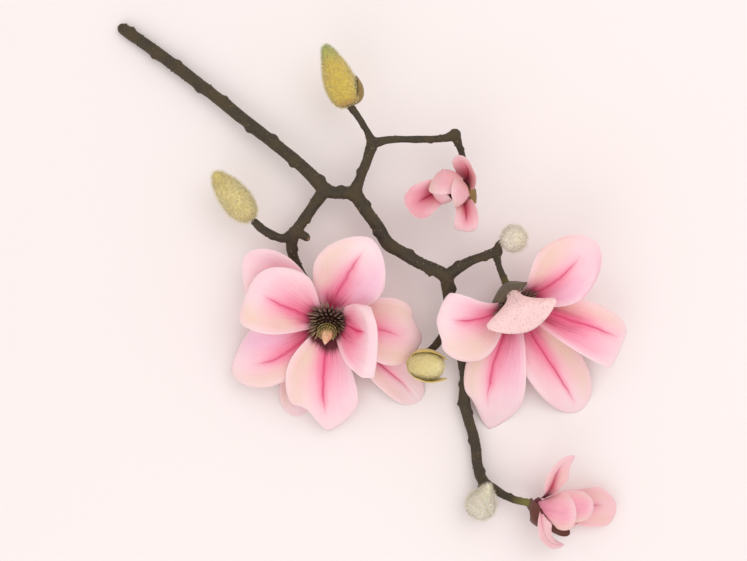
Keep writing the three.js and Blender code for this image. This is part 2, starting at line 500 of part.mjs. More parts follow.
// A strap with a three sided section through a few stations, ending in a narrower blunt tip.
const STRAP_TIP = 0.6;
function strap(stations, side, width, thick) {
  const positions = [];
  const faces = [];
  stations.forEach((centre, i) => {
    const before = stations[Math.max(0, i - 1)];
    const after = stations[Math.min(stations.length - 1, i + 1)];
    const up = unit(cross(add(after, before, -1), side));
    const taper = i === stations.length - 1 ? STRAP_TIP : 1;
    for (const [a, b] of [[1, 1], [-1, 1], [0, -1]]) {
      positions.push(add(add(centre, side, a * taper * width / 2), up, b * taper * thick / 2));
    }
  });
  for (let i = 0; i + 1 < stations.length; i += 1) {
    for (let k = 0; k < 3; k += 1) {
      const next = (k + 1) % 3;
      faces.push([3 * i + k, 3 * i + next, 3 * i + 3 + next, 3 * i + 3 + k]);
    }
  }
  const last = 3 * (stations.length - 1);
  faces.push([2, 1, 0], [last, last + 1, last + 2]);
  return solid(indexed(positions, faces));
}

// The cone of carpels with small bent styles and a pointed tip.
// Its outline holds shares of its length and radius.
const CONE = [[0, 0], [0, 0.95], [0.3, 1], [0.5, 0.88], [0.75, 0.48], [0.93, 0.14], [1, 0]];
const PISTIL = {
  length: 19, radius: 4.2, sides: 8, rows: 3, each: 5, step: 3.2, height: 1.4, root: 0.7, reach: 3.1,
  shorter: 0.35, rise: 2.2, width: 1.3, thick: 0.9,
};
function pistil({ at, way, above }) {
  const axis = unit(way);
  const start = above + BOSS_HEIGHT + 2 * GAP;
  const { length, radius } = PISTIL;
  const first = unit(cross(axis, ACROSS));
  const second = cross(axis, first);
  const outline = CONE.map(([share, width]) => [start + share * length, width * radius]);
  const parts = [turned(at, way, outline, PISTIL.sides)];
  for (let row = 0; row < PISTIL.rows; row += 1) {
    for (let i = 0; i < PISTIL.each; i += 1) {
      const angle = 2 * Math.PI * (i + 0.5 * row) / PISTIL.each;
      const out = add(first.map((value) => value * Math.cos(angle)), second, Math.sin(angle));
      const root = add(add(at, out, PISTIL.root * radius), axis, start + PISTIL.height + PISTIL.step * row);
      const end = add(add(root, out, PISTIL.reach - PISTIL.shorter * row), axis, PISTIL.rise);
      parts.push(strap([root, end], cross(axis, out), PISTIL.width, PISTIL.thick));
    }
  }
  return join(parts);
}

function bud({ base, tip, outline }, grow = 0) {
  const way = add(tip, base, -1);
  const length = Math.hypot(...way);
  const grown = outline.map(([share, radius], i) => {
    const end = i === 0 ? -grow : i === outline.length - 1 ? grow : 0;
    return [share * length + end, radius === 0 ? 0 : radius + grow];
  });
  return turned(base, way, grown);
}

// Bracts that lie open on the buds.
const BUD_A_BRACT = [
  { spine: [[-14.5, 118.5, 35], [-6.6, 125, 35], [-6.8, 133.5, 37.5], [-12.2, 141, 40]],
    face: [[-0.85, 0.3, 0.45], [-0.8, -0.4, 0.45]], width: [10, 10], peak: [0.45, 0.45], tip: [1.7, 1.7],
    cup: [75, 65], claw: 5 },
];
const BUD_D_SCALES = [
  { spine: [[25.8, -53.3, 21], [31.2, -47.6, 28], [39.7, -47.5, 34], [49.7, -53.3, 40]],
    face: [[0.5, -1, 0.2], [-0.2, -1, 0.3]], width: [8, 8], peak: [0.5, 0.5], tip: [1.7, 1.7],
    cup: [45, 30], claw: 4 },
  { spine: [[25.5, -60.5, 21], [30, -66.6, 27], [38.5, -68.6, 33], [49.5, -66, 38.5]],
    face: [[0.5, 1, 0.1], [-0.2, 1, 0.2]], width: [8, 8], peak: [0.5, 0.5], tip: [1.7, 1.7], cup: [45, 30],
    claw: 4 },
];

const group = new THREE.Group();
group.position.set(-ORIGIN[0], -ORIGIN[1], -ORIGIN[2]);

function place(name, whole, colour, roughness = 0.7) {
  const cut = mainBody(whole.intersect(TABLE).simplify(FINEST));
  const { vertProperties, triVerts } = cut.getMesh();
  const geometry = new THREE.BufferGeometry();
  geometry.setAttribute('position', new THREE.Float32BufferAttribute(vertProperties, 3));
  geometry.setIndex(new THREE.Uint32BufferAttribute(triVerts, 1));
  const material = new THREE.MeshStandardMaterial({ color: COLOURS[colour], roughness, metalness: 0 });
  const mesh = new THREE.Mesh(geometry, material);
  mesh.name = name;
  group.add(mesh);
}

const BLOOMS = {
  left_bloom: { tepals: LEFT_TEPALS, receptacle: LEFT_HUB, net: LARGE, centre: true, scales: [] },
  right_bloom: {
    tepals: RIGHT_TEPALS, receptacle: RIGHT_HUB, net: LARGE, centre: true, scales: RIGHT_SCALES,
  },
  top_bloom: { tepals: TOP_TEPALS, receptacle: TOP_HUB, net: SMALL, centre: false, scales: TOP_SCALES },
  lower_bloom: {
    tepals: LOWER_TEPALS, receptacle: LOWER_HUB, net: SMALL, centre: false, scales: LOWER_SCALES,
  },
};
const BUD_SCALES = {
  bud_a_bract: { rows: BUD_A_BRACT, bud: 'bud_a', collar: [[-1, 0], [-1, 3], [0.5, 5.4], [0.5, 0]] },
  bud_d_scales: { rows: BUD_D_SCALES, bud: 'bud_d', collar: [[-1.6, 0], [-1.6, 3.8], [2.4, 7.6], [2.4, 0]] },
};

// Bud scales with the low collar that holds them round the bud's base.
function collared({ rows, bud: inner, collar }, grow = 0) {
  const { base, tip } = BUDS[inner];
  const outline = collar.map(([height, radius]) => [height, radius === 0 ? 0 : radius + grow]);
  return join([turned(base, add(tip, base, -1), outline), scaleLeaves(rows, grow)]);
}

const spurs = SPURS.map(spur);
const twigs = Object.values(TWIGS).flatMap((row) => [tube(row), ...knobs(row)]);
let wood = join([...twigs, ...spurs]);

for (const [name, { tepals, receptacle, net, centre, scales }] of Object.entries(BLOOMS)) {
  const grown = bloom(tepals, receptacle, net, GAP);
  place(`${name}_tepals`, bloom(tepals, receptacle, net), 'petal', 0.6);
  wood = wood.subtract(grown);
  if (centre) {
    place(`${name}_stamens`, stamens(receptacle).subtract(grown), 'stamen');
    place(`${name}_pistil`, pistil(receptacle), 'pistil');
  }
  if (scales.length) {
    place(`${name}_bud_scale`, scaleLeaves(scales).subtract(grown), 'scale');
    wood = wood.subtract(scaleLeaves(scales, GAP));
  }
}
for (const [name, row] of Object.entries(BUDS)) {
  place(name, bud(row), row.colour, 0.9);
  wood = wood.subtract(bud(row, GAP));
}
for (const [name, row] of Object.entries(BUD_SCALES)) {
  place(name, collared(row).subtract(bud(BUDS[row.bud], GAP)), 'yellow', 0.9);
  wood = wood.subtract(collared(row, GAP));
}
place('branch', wood, 'bark', 0.85);

export default group;
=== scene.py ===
import json
import math
import random

import bpy
import numpy as np
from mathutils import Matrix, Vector, noise

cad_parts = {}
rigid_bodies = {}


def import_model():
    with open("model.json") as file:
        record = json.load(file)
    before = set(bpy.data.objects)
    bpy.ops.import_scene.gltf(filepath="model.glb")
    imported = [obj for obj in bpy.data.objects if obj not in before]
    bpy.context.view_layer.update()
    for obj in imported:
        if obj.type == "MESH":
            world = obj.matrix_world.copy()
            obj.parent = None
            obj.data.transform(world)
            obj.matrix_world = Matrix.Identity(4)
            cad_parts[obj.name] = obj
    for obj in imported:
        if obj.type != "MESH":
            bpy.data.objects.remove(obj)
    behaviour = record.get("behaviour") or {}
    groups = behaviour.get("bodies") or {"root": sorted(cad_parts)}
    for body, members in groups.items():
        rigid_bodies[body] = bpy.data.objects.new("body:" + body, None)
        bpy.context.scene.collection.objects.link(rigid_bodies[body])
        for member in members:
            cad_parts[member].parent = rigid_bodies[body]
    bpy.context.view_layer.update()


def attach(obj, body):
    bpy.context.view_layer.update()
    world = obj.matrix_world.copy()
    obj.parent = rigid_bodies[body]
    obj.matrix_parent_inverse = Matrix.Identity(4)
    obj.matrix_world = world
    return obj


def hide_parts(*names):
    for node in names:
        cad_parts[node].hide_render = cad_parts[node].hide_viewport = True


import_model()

MM = 0.001
# The tables below are in millimetres from the middle of the spray, and ORIGIN is taken off them.
ORIGIN = np.array([-3.26, -3.09, 0.0])
# Where the mesh of a blade starts along its length, and how far it goes towards its rims.
ROOT = -0.07
RIM = 0.9995
# Rows, columns and thickness in millimetres of the blades.
LARGE_GRID = (56, 40, 0.75)
SMALL_GRID = (40, 30, 0.6)
SCALE_GRID = (24, 20, 0.9)
# The turn of a blade's cup is summed in steps. Its rims roll and its lip turns from these shares of the
# half width, and its tip curls from this share of the length.
CUP_STEPS = 14
ROLL_FROM = 0.55
LIP_FROM = 0.8
CURL_FROM = 0.84
CREASE_WIDTH = 0.07
# The ripple of a rim is a sum of waves with these half turns along the blade.
WAVE_TURNS = (2.2, 3.7, 6.1)
# A blade is this share as thick at its rim, and full at this many millimetres from it.
THIN_RIM = 0.45
RIM_REACH = 5
# Where across a blade the tint of a side begins and is full.
SIDE_TINT = (0.12, 0.67)
# How softly a blade that meets the table bends along it, in square millimetres.
TABLE_BEND = 1.4


# Tables of the branch
# Each twig is a row of [x, y, z, radius] from its root to its end.
TWIGS = {
    "stem": [[-177.5, 177.5, 3.3, 3.9], [-155.5, 162, 5.5, 4.1], [-120.5, 136, 9, 4.1],
             [-85.5, 108, 13, 4.1], [-50.5, 79.5, 18, 4.2], [-33, 62, 21, 4.8]],
    "firstFork": [[-33, 62, 21, 4.8], [-27, 60, 22, 4.2], [-19.5, 60, 23, 4.2], [-12.5, 60, 23, 4.8]],
    "middle": [[-12.5, 60, 23, 4.8], [-6, 49, 24, 4.2], [3, 36.5, 25, 4.2], [10, 25, 25, 4.5],
               [18, 20, 25, 4.1], [31.5, 12, 25, 4.1], [42.5, 7, 25, 4.2], [50, 3, 25, 4.9]],
    "lowerStem": [[50, 3, 25, 4.9], [51.5, -8, 22, 4.1], [54.5, -28.5, 18, 3.8], [60.5, -49.5, 14, 3.6],
                  [63.5, -69, 10, 3.6], [63, -84.5, 8, 3.8], [66.5, -98.5, 7, 3.5], [70.5, -112.5, 7, 3.5],
                  [72, -126, 7, 3.4], [74.5, -136.5, 8, 3.6], [78.5, -142, 9, 3.7]],
    "lowerBloomTwig": [[78.5, -142, 9, 3.6], [85.5, -145.5, 11, 3], [93, -149.5, 14, 2.6],
                       [102, -152, 17.5, 2.4], [109, -153, 18.5, 2.9]],
    "lowerBudTwig": [[76.5, -141, 9, 3.2], [72.5, -148.5, 7.5, 2.3], [68, -157, 8, 2.2],
                     [66.5, -161.5, 12, 2.4]],
    "leftTwig": [[-34.5, 60.5, 21, 4.6], [-41.5, 50.5, 21, 3.8], [-49, 40, 21, 3.5], [-54, 32.5, 21, 4.3]],
    "leftBudTwig": [[-54, 32.5, 21, 4], [-62, 29, 22, 2.9], [-70.5, 32, 24, 3], [-76, 35, 25, 2.8],
                    [-82.5, 41.5, 27, 2.5]],
    "cutStub": [[-53, 32.5, 22, 3.2], [-48, 31, 24, 3], [-44, 28, 27, 2.7]],
    "leftBloomTwig": [[-54.5, 32, 21, 3.9], [-56.5, 23, 18, 3.6], [-53.5, 11.5, 12, 3.1], [-45, -3, 8, 2.8],
                      [-35.5, -16, 7, 3.2], [-32, -22, 8.5, 4]],
    "upperTwig": [[-13.5, 59, 23, 4.6], [-9, 70, 25, 3.3], [-4.5, 81.5, 28, 3.1], [-0.5, 93.5, 31, 4]],
    "upperBudTwig": [[-0.5, 92.5, 31, 3.4], [-5, 102.5, 33, 2.1], [-10.5, 111, 35, 2.2],
                     [-17.5, 120, 37, 2.5]],
    "levelTwig": [[-1, 92.5, 31, 3.2], [8, 95, 32, 2.3], [18, 95.5, 33, 2.1], [37, 95.5, 34, 2.2],
                  [49.5, 96.5, 35, 2.7], [55, 98.5, 35, 3.8]],
    "topBloomTwig": [[55, 98.5, 35, 3.8], [58, 91, 33, 2.3], [61, 83.5, 26, 2.2], [62.5, 74.5, 19, 2.2],
                     [60.5, 67, 17.5, 2.8]],
    "rightTwig": [[49.5, 2.5, 25, 4.6], [57, 8, 26, 3.9], [65.5, 13, 28, 3.1], [75, 16.5, 30, 2.8],
                  [83.5, 19.5, 32, 3.7]],
    "rightBudTwig": [[83.5, 18.5, 32, 3.2], [85, 24.5, 34, 2.4], [88.5, 27.5, 37, 2.3]],
    "rightBloomTwig": [[83, 19.5, 32, 3], [85, 10.5, 30, 2], [87.5, 4.5, 27, 2.1], [90.5, -1.5, 22, 2.4],
                       [93.5, -7, 17, 3.2]],
    "middleBudTwig": [[53, -24.5, 18, 3.2], [49.5, -34, 18, 2.6], [44, -43, 16, 2.6], [36, -51, 15, 2.6],
                      [28, -56.5, 19.5, 2.5]],
}
TWIG_SIDES = 14
RING_STEP = 1.6
# The wood is one skin of voxels of this size. Its girth wavers, its surface is grained, and it stands a
# little proud of the rings, all in millimetres.
WOOD_VOXEL = 0.75
WOOD_WAVER = 0.42
WOOD_GRAIN = 0.16
WOOD_SKIN = 0.22
# Twig ends thicker than this radius have a fork, swollen this much.
FORK_RADIUS = 3.1
FORK_SWELL = 1.08
KNOB_STEP = 19
KNOB_OUTLINE = [[-1.2, 0], [-0.7, 0.3], [-0.1, 0.58], [0.4, 0.66], [0.8, 0.45], [1, 0]]
KNOB_SEED = 7
SPURS = [
    dict(start=[38, 8, 25], end=[38.5, 2.5, 24.5], radius=1.6),
    dict(start=[74.5, -138, 8], end=[74.5, -145.5, 7], radius=1.7),
    dict(start=[60.5, -84, 8], end=[58.2, -86.5, 8.5], radius=1.8),
]
# Where the wood is young and green: [x, y, z, reach].
GREEN_JOINTS = [[92.5, -4, 20, 9], [107, -153, 18, 9], [60.5, 68, 18, 7]]


# cream is partly the tepals' own tint and partly painted shade where a side turns from the light.
# A tepal is a blade along a cubic spine. face gives where its inner side looks at the claw and at the
# tip, width its half widths, peak where each side is widest, tip how blunt it ends, cup its curl in
# degrees at the claw and at the tip, roll the extra curl of each rim, lip that of the outermost rim,
# curl how far the tip bends over in millimetres, fold how far it comes back, crease the depth of the
# midrib, ripple the height of the waves of the rim, waist how slim the blade stays near its claw and
# full the share of its length where it is widest. notches are places where the end draws in: side,
# place across, spread and depth. cream, lilac and deep say how much of each tint the two sides and the
# midrib have, flush how far the deep pink runs up the blade. Where the two sides differ, the value is a
# pair.
# A row holds what differs from these values.
# throat darkens the claw with its deep base colour and with painted shade round the stamens.
BLADE_PLAIN = dict(claw=5, peak=0.62, tip=2, cup=[40, 25], roll=0, lip=-26, curl=-1.2, fold=0, crease=0.9,
                   ripple=0.5, waist=1, full=0.92, notches=[], cream=0.3, lilac=0.2, deep=1, flush=0,
                   throat=1, rib=[0.08, 0.8], speckle=0)
# The values whose two sides may differ.
SIDED = ("width", "peak", "tip", "roll", "lip", "cream", "lilac")
# The closed inner tepals of the small blooms.
CLOSED = dict(claw=3, cream=[0.9, 0.6], lip=0, ripple=0.2)
LEFT_TEPALS = [
    dict(spine=[[-37, -22, 9], [-58, -8, 20], [-75.5, 1.5, 27], [-90, 5, 27]],
         face=[[0.3, -0.5, 1], [0.2, -0.2, 1]], width=[18, 22], peak=[0.75, 0.6], tip=2.2, cup=[45, 20],
         cream=[0.8, 0.1], lilac=[0, 0.5], deep=0.35),
    dict(spine=[[-33, -31.5, 8], [-45, -51.5, 8], [-52, -73.5, 5], [-53.5, -95.5, -0.5]],
         face=[[0.1, 0.3, 1], [0, 0, 1]], width=13, peak=0.7, cup=[30, 10], cream=[0.7, 0.9], deep=0.5),
    dict(spine=[[-26, -30, 9], [-7.5, -47.5, 11], [14, -66, 8], [32.5, -85, -0.5]],
         face=[[-0.2, 0.3, 1], [0, 0, 1]], width=13, peak=0.72, cup=[40, 20], cream=[0.6, 0.8],
         lilac=[0.6, 0.3], deep=1, rib=[0.3, 0.95]),
    dict(spine=[[-23, -28.5, 13], [-5, -32, 21], [14.5, -36.5, 22], [34, -41, 13.5]],
         face=[[-0.4, 0, 1], [0, 0, 1]], width=[24, 22], peak=[0.62, 0.7], tip=1.6, cup=[35, 15],
         notches=[[0, 0.55, 0.2, 0.07]], ripple=0.9, cream=[0.95, 0.9], lilac=0, deep=0.8, flush=0.05),
    dict(spine=[[-31.5, -33, 15], [-33.5, -54.5, 23], [-34.5, -79.5, 20], [-29.5, -104.5, 8]],
         face=[[0, 0.5, 1], [0, 0.1, 1]], claw=7, width=[24, 26], peak=[0.72, 0.56], waist=1.4,
         cup=[40, 10], roll=[0, 40], notches=[[1, 0.5, 0.42, 0.18]], cream=[0.1, 1], lilac=[0.3, 0],
         deep=1.3, rib=[0, 0.88], throat=2),
    dict(spine=[[-38.5, -33, 13], [-56, -47, 21], [-75, -56.5, 21], [-97.5, -55.5, 14]],
         face=[[0.4, 0.3, 1], [0.1, 0, 1]], width=[17, 25], peak=[0.6, 0.72], tip=2.4, cup=[40, 12],
         roll=[-45, 0], cream=[0.9, 0], lilac=[0, 1], deep=1, rib=[0, 0.8]),
    dict(spine=[[-38, -26, 17], [-54, -20, 33], [-69.5, -12.5, 43], [-84.5, -5, 42]],
         face=[[0.6, -0.3, 1], [0.1, -0.1, 1]], claw=7, width=[24, 26], peak=[0.78, 0.5], tip=[2.2, 2],
         waist=1.3, cup=[45, 20], cream=[1, 0.2], lilac=[0, 0.2], deep=1.1, rib=[0.1, 0.8]),
    dict(spine=[[-28.5, -17.5, 18], [-20.5, -1.5, 33], [-11.5, 12.5, 46], [-1.5, 28, 52]],
         face=[[-0.3, -0.6, 1], [-0.1, -0.2, 1]], claw=8, width=[24, 26], peak=[0.5, 0.52], tip=1.6,
         cup=[40, 15], cream=[1, 0], lilac=[0, 0.8], deep=0.95, rib=[0, 0.86], throat=0.05, flush=-0.12),
    dict(spine=[[-25, -28, 16], [-15.5, -31.5, 31], [-7.5, -34.5, 45], [-1, -37.5, 56]],
         face=[[-0.8, 0.1, 0.6], [-0.87, -0.18, 0.41]], width=[18, 30], peak=[0.55, 0.93], tip=2.8,
         cup=[45, 12], roll=[-30, 0], lip=[-50, -20], curl=-4.5, cream=[0.2, 0], lilac=0, deep=1.9,
         rib=[0, 0.8], flush=0.1, throat=1.6),
]
RIGHT_TEPALS = [
    dict(spine=[[92, -16, 22], [76, -24.5, 33], [59.5, -27, 41], [42.5, -24.5, 43]],
         face=[[0.6, -0.2, 1], [0.1, 0, 1]], width=[28, 18], peak=[0.56, 0.86], tip=[2, 2.2], waist=1.7,
         cup=[40, 10], notches=[[0, 0.5, 0.16, 0.05]], cream=[0.9, 0], lilac=[0, 0.2], deep=1.2,
         rib=[0, 0.85]),
    dict(spine=[[95, -21.5, 15], [86.5, -44, 21], [79.5, -73, 15], [82, -104.5, -0.6]],
         face=[[0, 0.5, 1], [0, 0, 1]], width=[25, 18.5], peak=[0.72, 0.58], cup=[35, 10],
         notches=[[1, 0.55, 0.42, 0.15]], cream=[0, 1], lilac=[0.4, 0], deep=1.2, rib=[0, 0.85]),
    dict(spine=[[101, -20.5, 13], [113.5, -44.5, 19], [129.5, -68.5, 13], [144.5, -92, -0.6]],
         face=[[-0.2, 0.4, 1], [0, 0, 1]], width=[21, 19], peak=[0.58, 0.5], cup=[35, 12], cream=[1, 0.3],
         lilac=[0.1, 0.3], deep=1.2, rib=[0, 0.97]),
    dict(spine=[[103.5, -16, 18], [127, -24.5, 31], [150.5, -32.5, 33], [171.5, -41, 26]],
         face=[[-0.5, 0.3, 1], [0.1, 0, 1]], width=[16, 22], peak=[0.55, 0.9], tip=[2.4, 2.6], cup=[40, 15],
         cream=[1, 0], lilac=[0, 0.1], deep=1.3, rib=[0, 0.97], flush=0.16),
    dict(spine=[[105, -11, 22], [118.5, -3.5, 38], [132.5, 10, 49], [146, 31, 52]],
         face=[[-0.3, -0.5, 1], [0.1, 0.1, 1]], claw=6, width=[24, 20], peak=[0.64, 0.56], tip=[2.2, 2],
         waist=1.5, cup=[50, 20], curl=4, fold=4, cream=[0.9, 0], lilac=[0, 0.7], deep=1, rib=[0, 0.82],
         throat=0.15),
    dict(spine=[[95, -5, 23], [94, -9.5, 42], [96.5, -18, 56], [103, -33, 50]],
         face=[[0.3, -0.92, 0.1], [0.1, -0.1, -1]], width=25, peak=0.8, waist=10, full=0.84, tip=1.7,
         cup=[50, 22], cream=0.3, lilac=0, deep=1, throat=0, speckle=1, crease=0.3, ripple=0.2, lip=0),
]
TOP_TEPALS = [
    dict(spine=[[54.5, 64, 24], [43, 60, 37], [32.5, 54, 41], [21.5, 46.5, 39]],
         face=[[0.5, 0.1, 1], [0.1, 0, 1]], width=11.5, peak=[0.75, 0.7], tip=[2.7, 2.5], cup=[50, 15],
         claw=2.5, cream=[0.5, 0.2], deep=1.6, curl=4, fold=3, flush=0.1),
    dict(spine=[[59, 59, 22], [61.5, 50, 36], [62.2, 41.5, 42], [61.3, 32.5, 41]],
         face=[[-0.2, 0.5, 1], [0, 0.1, 1]], width=[9, 8], peak=[0.7, 0.88], tip=[2.2, 2.8], cup=[60, 15],
         roll=[70, 0], claw=2.5, cream=[0.4, 0.7], deep=1.2),
    dict(spine=[[61.5, 66, 22], [64, 70.5, 36], [61.5, 76.5, 48], [54, 81, 56]],
         face=[[-0.8, -0.5, 0.6], [-0.5, -0.6, 0.5]], width=[10, 13], peak=0.6, tip=2.2, cup=[60, 40],
         roll=[20, 60], claw=2.5, cream=[0.1, 1], deep=0.8, flush=-0.05),
    dict(CLOSED, spine=[[58, 60.5, 22], [49.5, 53.5, 33], [46.2, 52.5, 46], [48.5, 57.5, 54]],
         face=[[0.3, 1, 0], [0.2, 0.6, -0.9]], width=[10, 13], peak=0.55, tip=1.8, cup=[80, 80]),
    dict(CLOSED, spine=[[58, 64, 22], [48.5, 73, 33], [46, 72, 47], [46.5, 56.5, 56]],
         face=[[0.4, -0.9, 0], [0.1, -0.3, -1]], width=[13.5, 16], peak=[0.85, 0.62], tip=[2.2, 2.4],
         cup=[85, 70], cream=[0.9, 0.7]),
    dict(CLOSED, spine=[[60.5, 62, 22], [64, 58.2, 33], [61, 57.5, 48], [50.5, 57.5, 60]],
         face=[[-1, 0.3, 0], [-0.7, 0, -0.8]], width=[16, 13.6], peak=[0.5, 0.56], tip=[2, 1.8],
         cup=[80, 75]),
]
LOWER_TEPALS = [
    dict(spine=[[114, -155, 13], [131, -156.5, 6], [151, -156.5, 6], [167.5, -154.5, 11]],
         face=[[0, 0, 1], [0.1, 0, 1]], width=[13, 15], peak=[0.75, 0.8], tip=1.6, cup=[60, 15], claw=2.5,
         cream=0.9, deep=1.1, rib=[0, 0.85], flush=-0.15),
    dict(spine=[[114.5, -156, 23], [113.8, -163, 33], [118.2, -175.5, 28], [133, -182.5, 10]],
         face=[[0.5, 0.4, 1], [0.3, 0.5, 1]], width=[7, 5.5], peak=0.55, tip=1.5, cup=[45, 30], claw=1,
         waist=3, throat=0, cream=0.6, deep=0.15, flush=-0.45),
    dict(CLOSED, spine=[[112.5, -156, 16], [122, -157, 11], [135, -157.5, 11], [147, -156.5, 18]],
         face=[[0.2, 0, 1], [-0.3, 0, 1]], width=15.5, peak=0.6, cup=[75, 60]),
    dict(CLOSED, spine=[[112.5, -153.5, 20], [121, -153.5, 30], [134, -153.5, 33.5], [149, -155.5, 27]],
         face=[[0.2, 0, -1], [-0.4, 0, -0.9]], width=15, peak=0.75, tip=2.6, cup=[80, 75]),
    dict(CLOSED, spine=[[112, -153.5, 22], [118, -155, 34], [127, -156.5, 37.5], [136.5, -157, 35]],
         face=[[0.2, 0.1, -1], [-0.2, 0, -1]], width=18, peak=0.8, tip=2.6, cup=[80, 75]),
    dict(spine=[[117, -147, 24], [121.5, -137, 33], [124.5, -126.5, 42], [134, -117.5, 50]],
         face=[[0.5, -0.3, 0.8], [0.4, -0.3, 0.8]], width=[9, 10], peak=0.48, tip=1.5, cup=[40, 30], claw=2,
         cream=[0.6, 0.9], deep=0.8, flush=-0.12),
]
# A bloom's receptacle: its middle, the way the bloom looks, its radius, and its reach along that way.
LEFT_HUB = dict(at=[-30.5, -26, 13], way=[-0.08, -0.6, 0.8], radius=8.5, below=7, above=4)
RIGHT_HUB = dict(at=[97, -15.5, 20], way=[0.28, -0.6, 0.75], radius=8.5, below=7, above=4)
TOP_HUB = dict(at=[59, 62, 22], way=[-0.3, -0.1, 0.95], radius=4.6, below=3.5, above=2)
LOWER_HUB = dict(at=[113, -153.5, 19], way=[1, -0.1, 0.1], radius=4.8, below=3.5, above=2)
# What the bud scales have in place of the plain blade's values.
SCALE_PLAIN = dict(lip=0, curl=0, crease=0.3, ripple=0.35)
RIGHT_SCALES = [
    dict(spine=[[92, -1.5, 18], [90.5, -2, 25], [91.5, -5, 31], [95, -11, 33]],
         face=[[0.5, -0.8, -0.3], [0.4, -0.5, -0.8]], width=[21, 14], peak=[0.95, 0.8], tip=1.9,
         cup=[60, 40], claw=4),
]
TOP_SCALES = [
    dict(spine=[[62, 65, 17], [67.5, 64, 23], [69.2, 59.5, 30], [66.8, 52.5, 34]],
         face=[[-1, -0.2, -0.2], [-0.8, 0, -0.6]], width=[8, 7], peak=0.7, tip=1.8, cup=[55, 40], claw=3),
]
LOWER_SCALES = [
    dict(spine=[[107.5, -153.5, 17], [107.6, -157.5, 26], [110.5, -163, 28.5], [115, -168.5, 25]],
         face=[[1, 0.3, -1.1], [0.6, 0.6, -1.2]], width=8, peak=0.6, tip=2, cup=[60, 50], claw=4),
    dict(spine=[[107.5, -153.5, 17], [116.5, -163.5, 10.5], [126.5, -170.5, 8.5], [136, -176, 9.5]],
         face=[[0, 0.2, -1], [0, 0.1, -1]], width=[5, 4.5], peak=0.7, tip=2, cup=[40, 20], claw=3),
]
BUD_A_BRACT = [
    dict(spine=[[-14.5, 118.5, 35], [-7.6, 124, 35], [-8, 131.5, 37], [-12, 138, 39]],
         face=[[-0.85, 0.3, 0.1], [-0.9, -0.4, 0.1]], width=9, peak=0.45, tip=1.7, cup=[75, 65], claw=5),
]
BUD_D_SCALES = [
    dict(spine=[[25.8, -53.3, 21], [31.2, -47.6, 28], [39.7, -47.5, 34], [49.7, -53.3, 40]],
         face=[[0.5, -1, 0.2], [-0.2, -1, 0.3]], width=8, peak=0.5, tip=1.7, cup=[45, 30], claw=4),
    dict(spine=[[25.5, -60.5, 21], [30, -66.6, 27], [38.5, -68.6, 33], [49.5, -66, 38.5]],
         face=[[0.5, 1, 0.1], [-0.2, 1, 0.2]], width=8, peak=0.5, tip=1.7, cup=[45, 30], claw=4),
]
# The boss above a receptacle, its rows of stamens as (height, radius, lean in degrees, count, length), and
# the cone with the share of its length and of its radius at each ring.
BOSS_BASE = 0.35
BOSS_OUTLINE = [[0, 0], [0, 7.8], [3.5, 6.8], [5.5, 5.4], [5.5, 0]]
STAMEN_ROWS = [(0.6, 7.2, 0, 31, 11.4), (1.9, 7, 8, 28, 10.8), (3.2, 6.6, 17, 25, 10), (4.4, 6, 27, 22, 9),
               (5.4, 5.2, 37, 18, 7.8)]
CONE_BASE = 6.2
CONE_LENGTH = 19
CONE_RADIUS = 4.2
CONE_OUTLINE = [[0, 0], [0, 0.95], [0.3, 1], [0.5, 0.88], [0.75, 0.48], [0.93, 0.14], [1, 0]]
# The girth of a hair in millimetres and how far the hairs stray.
HAIR_GIRTH = 0.13
HAIR_SPREAD = 0.75
# Buds: base, tip, outline as [share of the length, radius], their hair, and the tints of the middle, the
# tip, the root and the dots.
BUDS = {
    "bud_a": dict(base=[-16.6, 118.3, 37], tip=[-32.4, 157.5, 43], slot="yellow_bud", hairs=2.2, length=2.6,
                  lean=0.35, outline=[[0, 0], [0.01, 4.6], [0.05, 7], [0.13, 8.8], [0.28, 10], [0.44, 9.7],
                                      [0.6, 8.2], [0.75, 6.2], [0.87, 4.4], [0.95, 2.9], [0.985, 1.7],
                                      [1, 0]],
                  tints=((248, 224, 104), (190, 206, 118), (206, 152, 76), (214, 184, 74))),
    "bud_b": dict(base=[-83, 42, 27.2], tip=[-107.5, 72.5, 34], slot="cream_bud", hairs=2.0, length=3.4,
                  lean=0.3, outline=[[0, 0], [0.01, 3], [0.1, 6.6], [0.28, 8.9], [0.5, 9], [0.72, 7.2],
                                     [0.9, 4.2], [0.98, 2], [1, 0]],
                  tints=((255, 240, 178), (240, 222, 136), (224, 200, 136), (224, 206, 132))),
    "bud_c": dict(base=[88.6, 27.7, 37], tip=[100, 28.7, 49], slot="cream_bud", hairs=1.8, length=3.2,
                  lean=0.35, outline=[[0, 0], [0.02, 3], [0.14, 6.2], [0.35, 8.3], [0.58, 8.2], [0.8, 6],
                                      [0.93, 3.2], [1, 0]],
                  tints=((255, 246, 232), (255, 246, 224), (246, 222, 206), (244, 222, 204))),
    "bud_d": dict(base=[26, -57, 21.5], tip=[46, -58, 40], slot="yellow_bud", hairs=2.0, length=2.3,
                  lean=0.3, outline=[[0, 0], [0.02, 3.6], [0.12, 7.2], [0.33, 9.3], [0.58, 9.2], [0.8, 7.2],
                                     [0.93, 4], [1, 0]],
                  tints=((255, 240, 178), (255, 243, 190), (244, 212, 132), (246, 224, 134))),
    "bud_e": dict(base=[71.5, -161.5, 14], tip=[78.5, -138.5, 30], slot="cream_bud", hairs=1.9, length=3.2,
                  lean=0.3, outline=[[0, 0], [0.02, 3.4], [0.12, 7.6], [0.3, 9.8], [0.48, 8.6], [0.66, 5.6],
                                     [0.83, 2.8], [0.95, 1.2], [1, 0]],
                  tints=((255, 248, 236), (255, 247, 222), (250, 234, 218), (232, 228, 188))),
}


# Small geometry helpers
def place(points):
    """Millimetres from the middle of the spray, as metres in the frame."""
    return (np.asarray(points, float) - ORIGIN) * MM


def unit(a):
    return a / np.linalg.norm(a, axis=-1, keepdims=True)


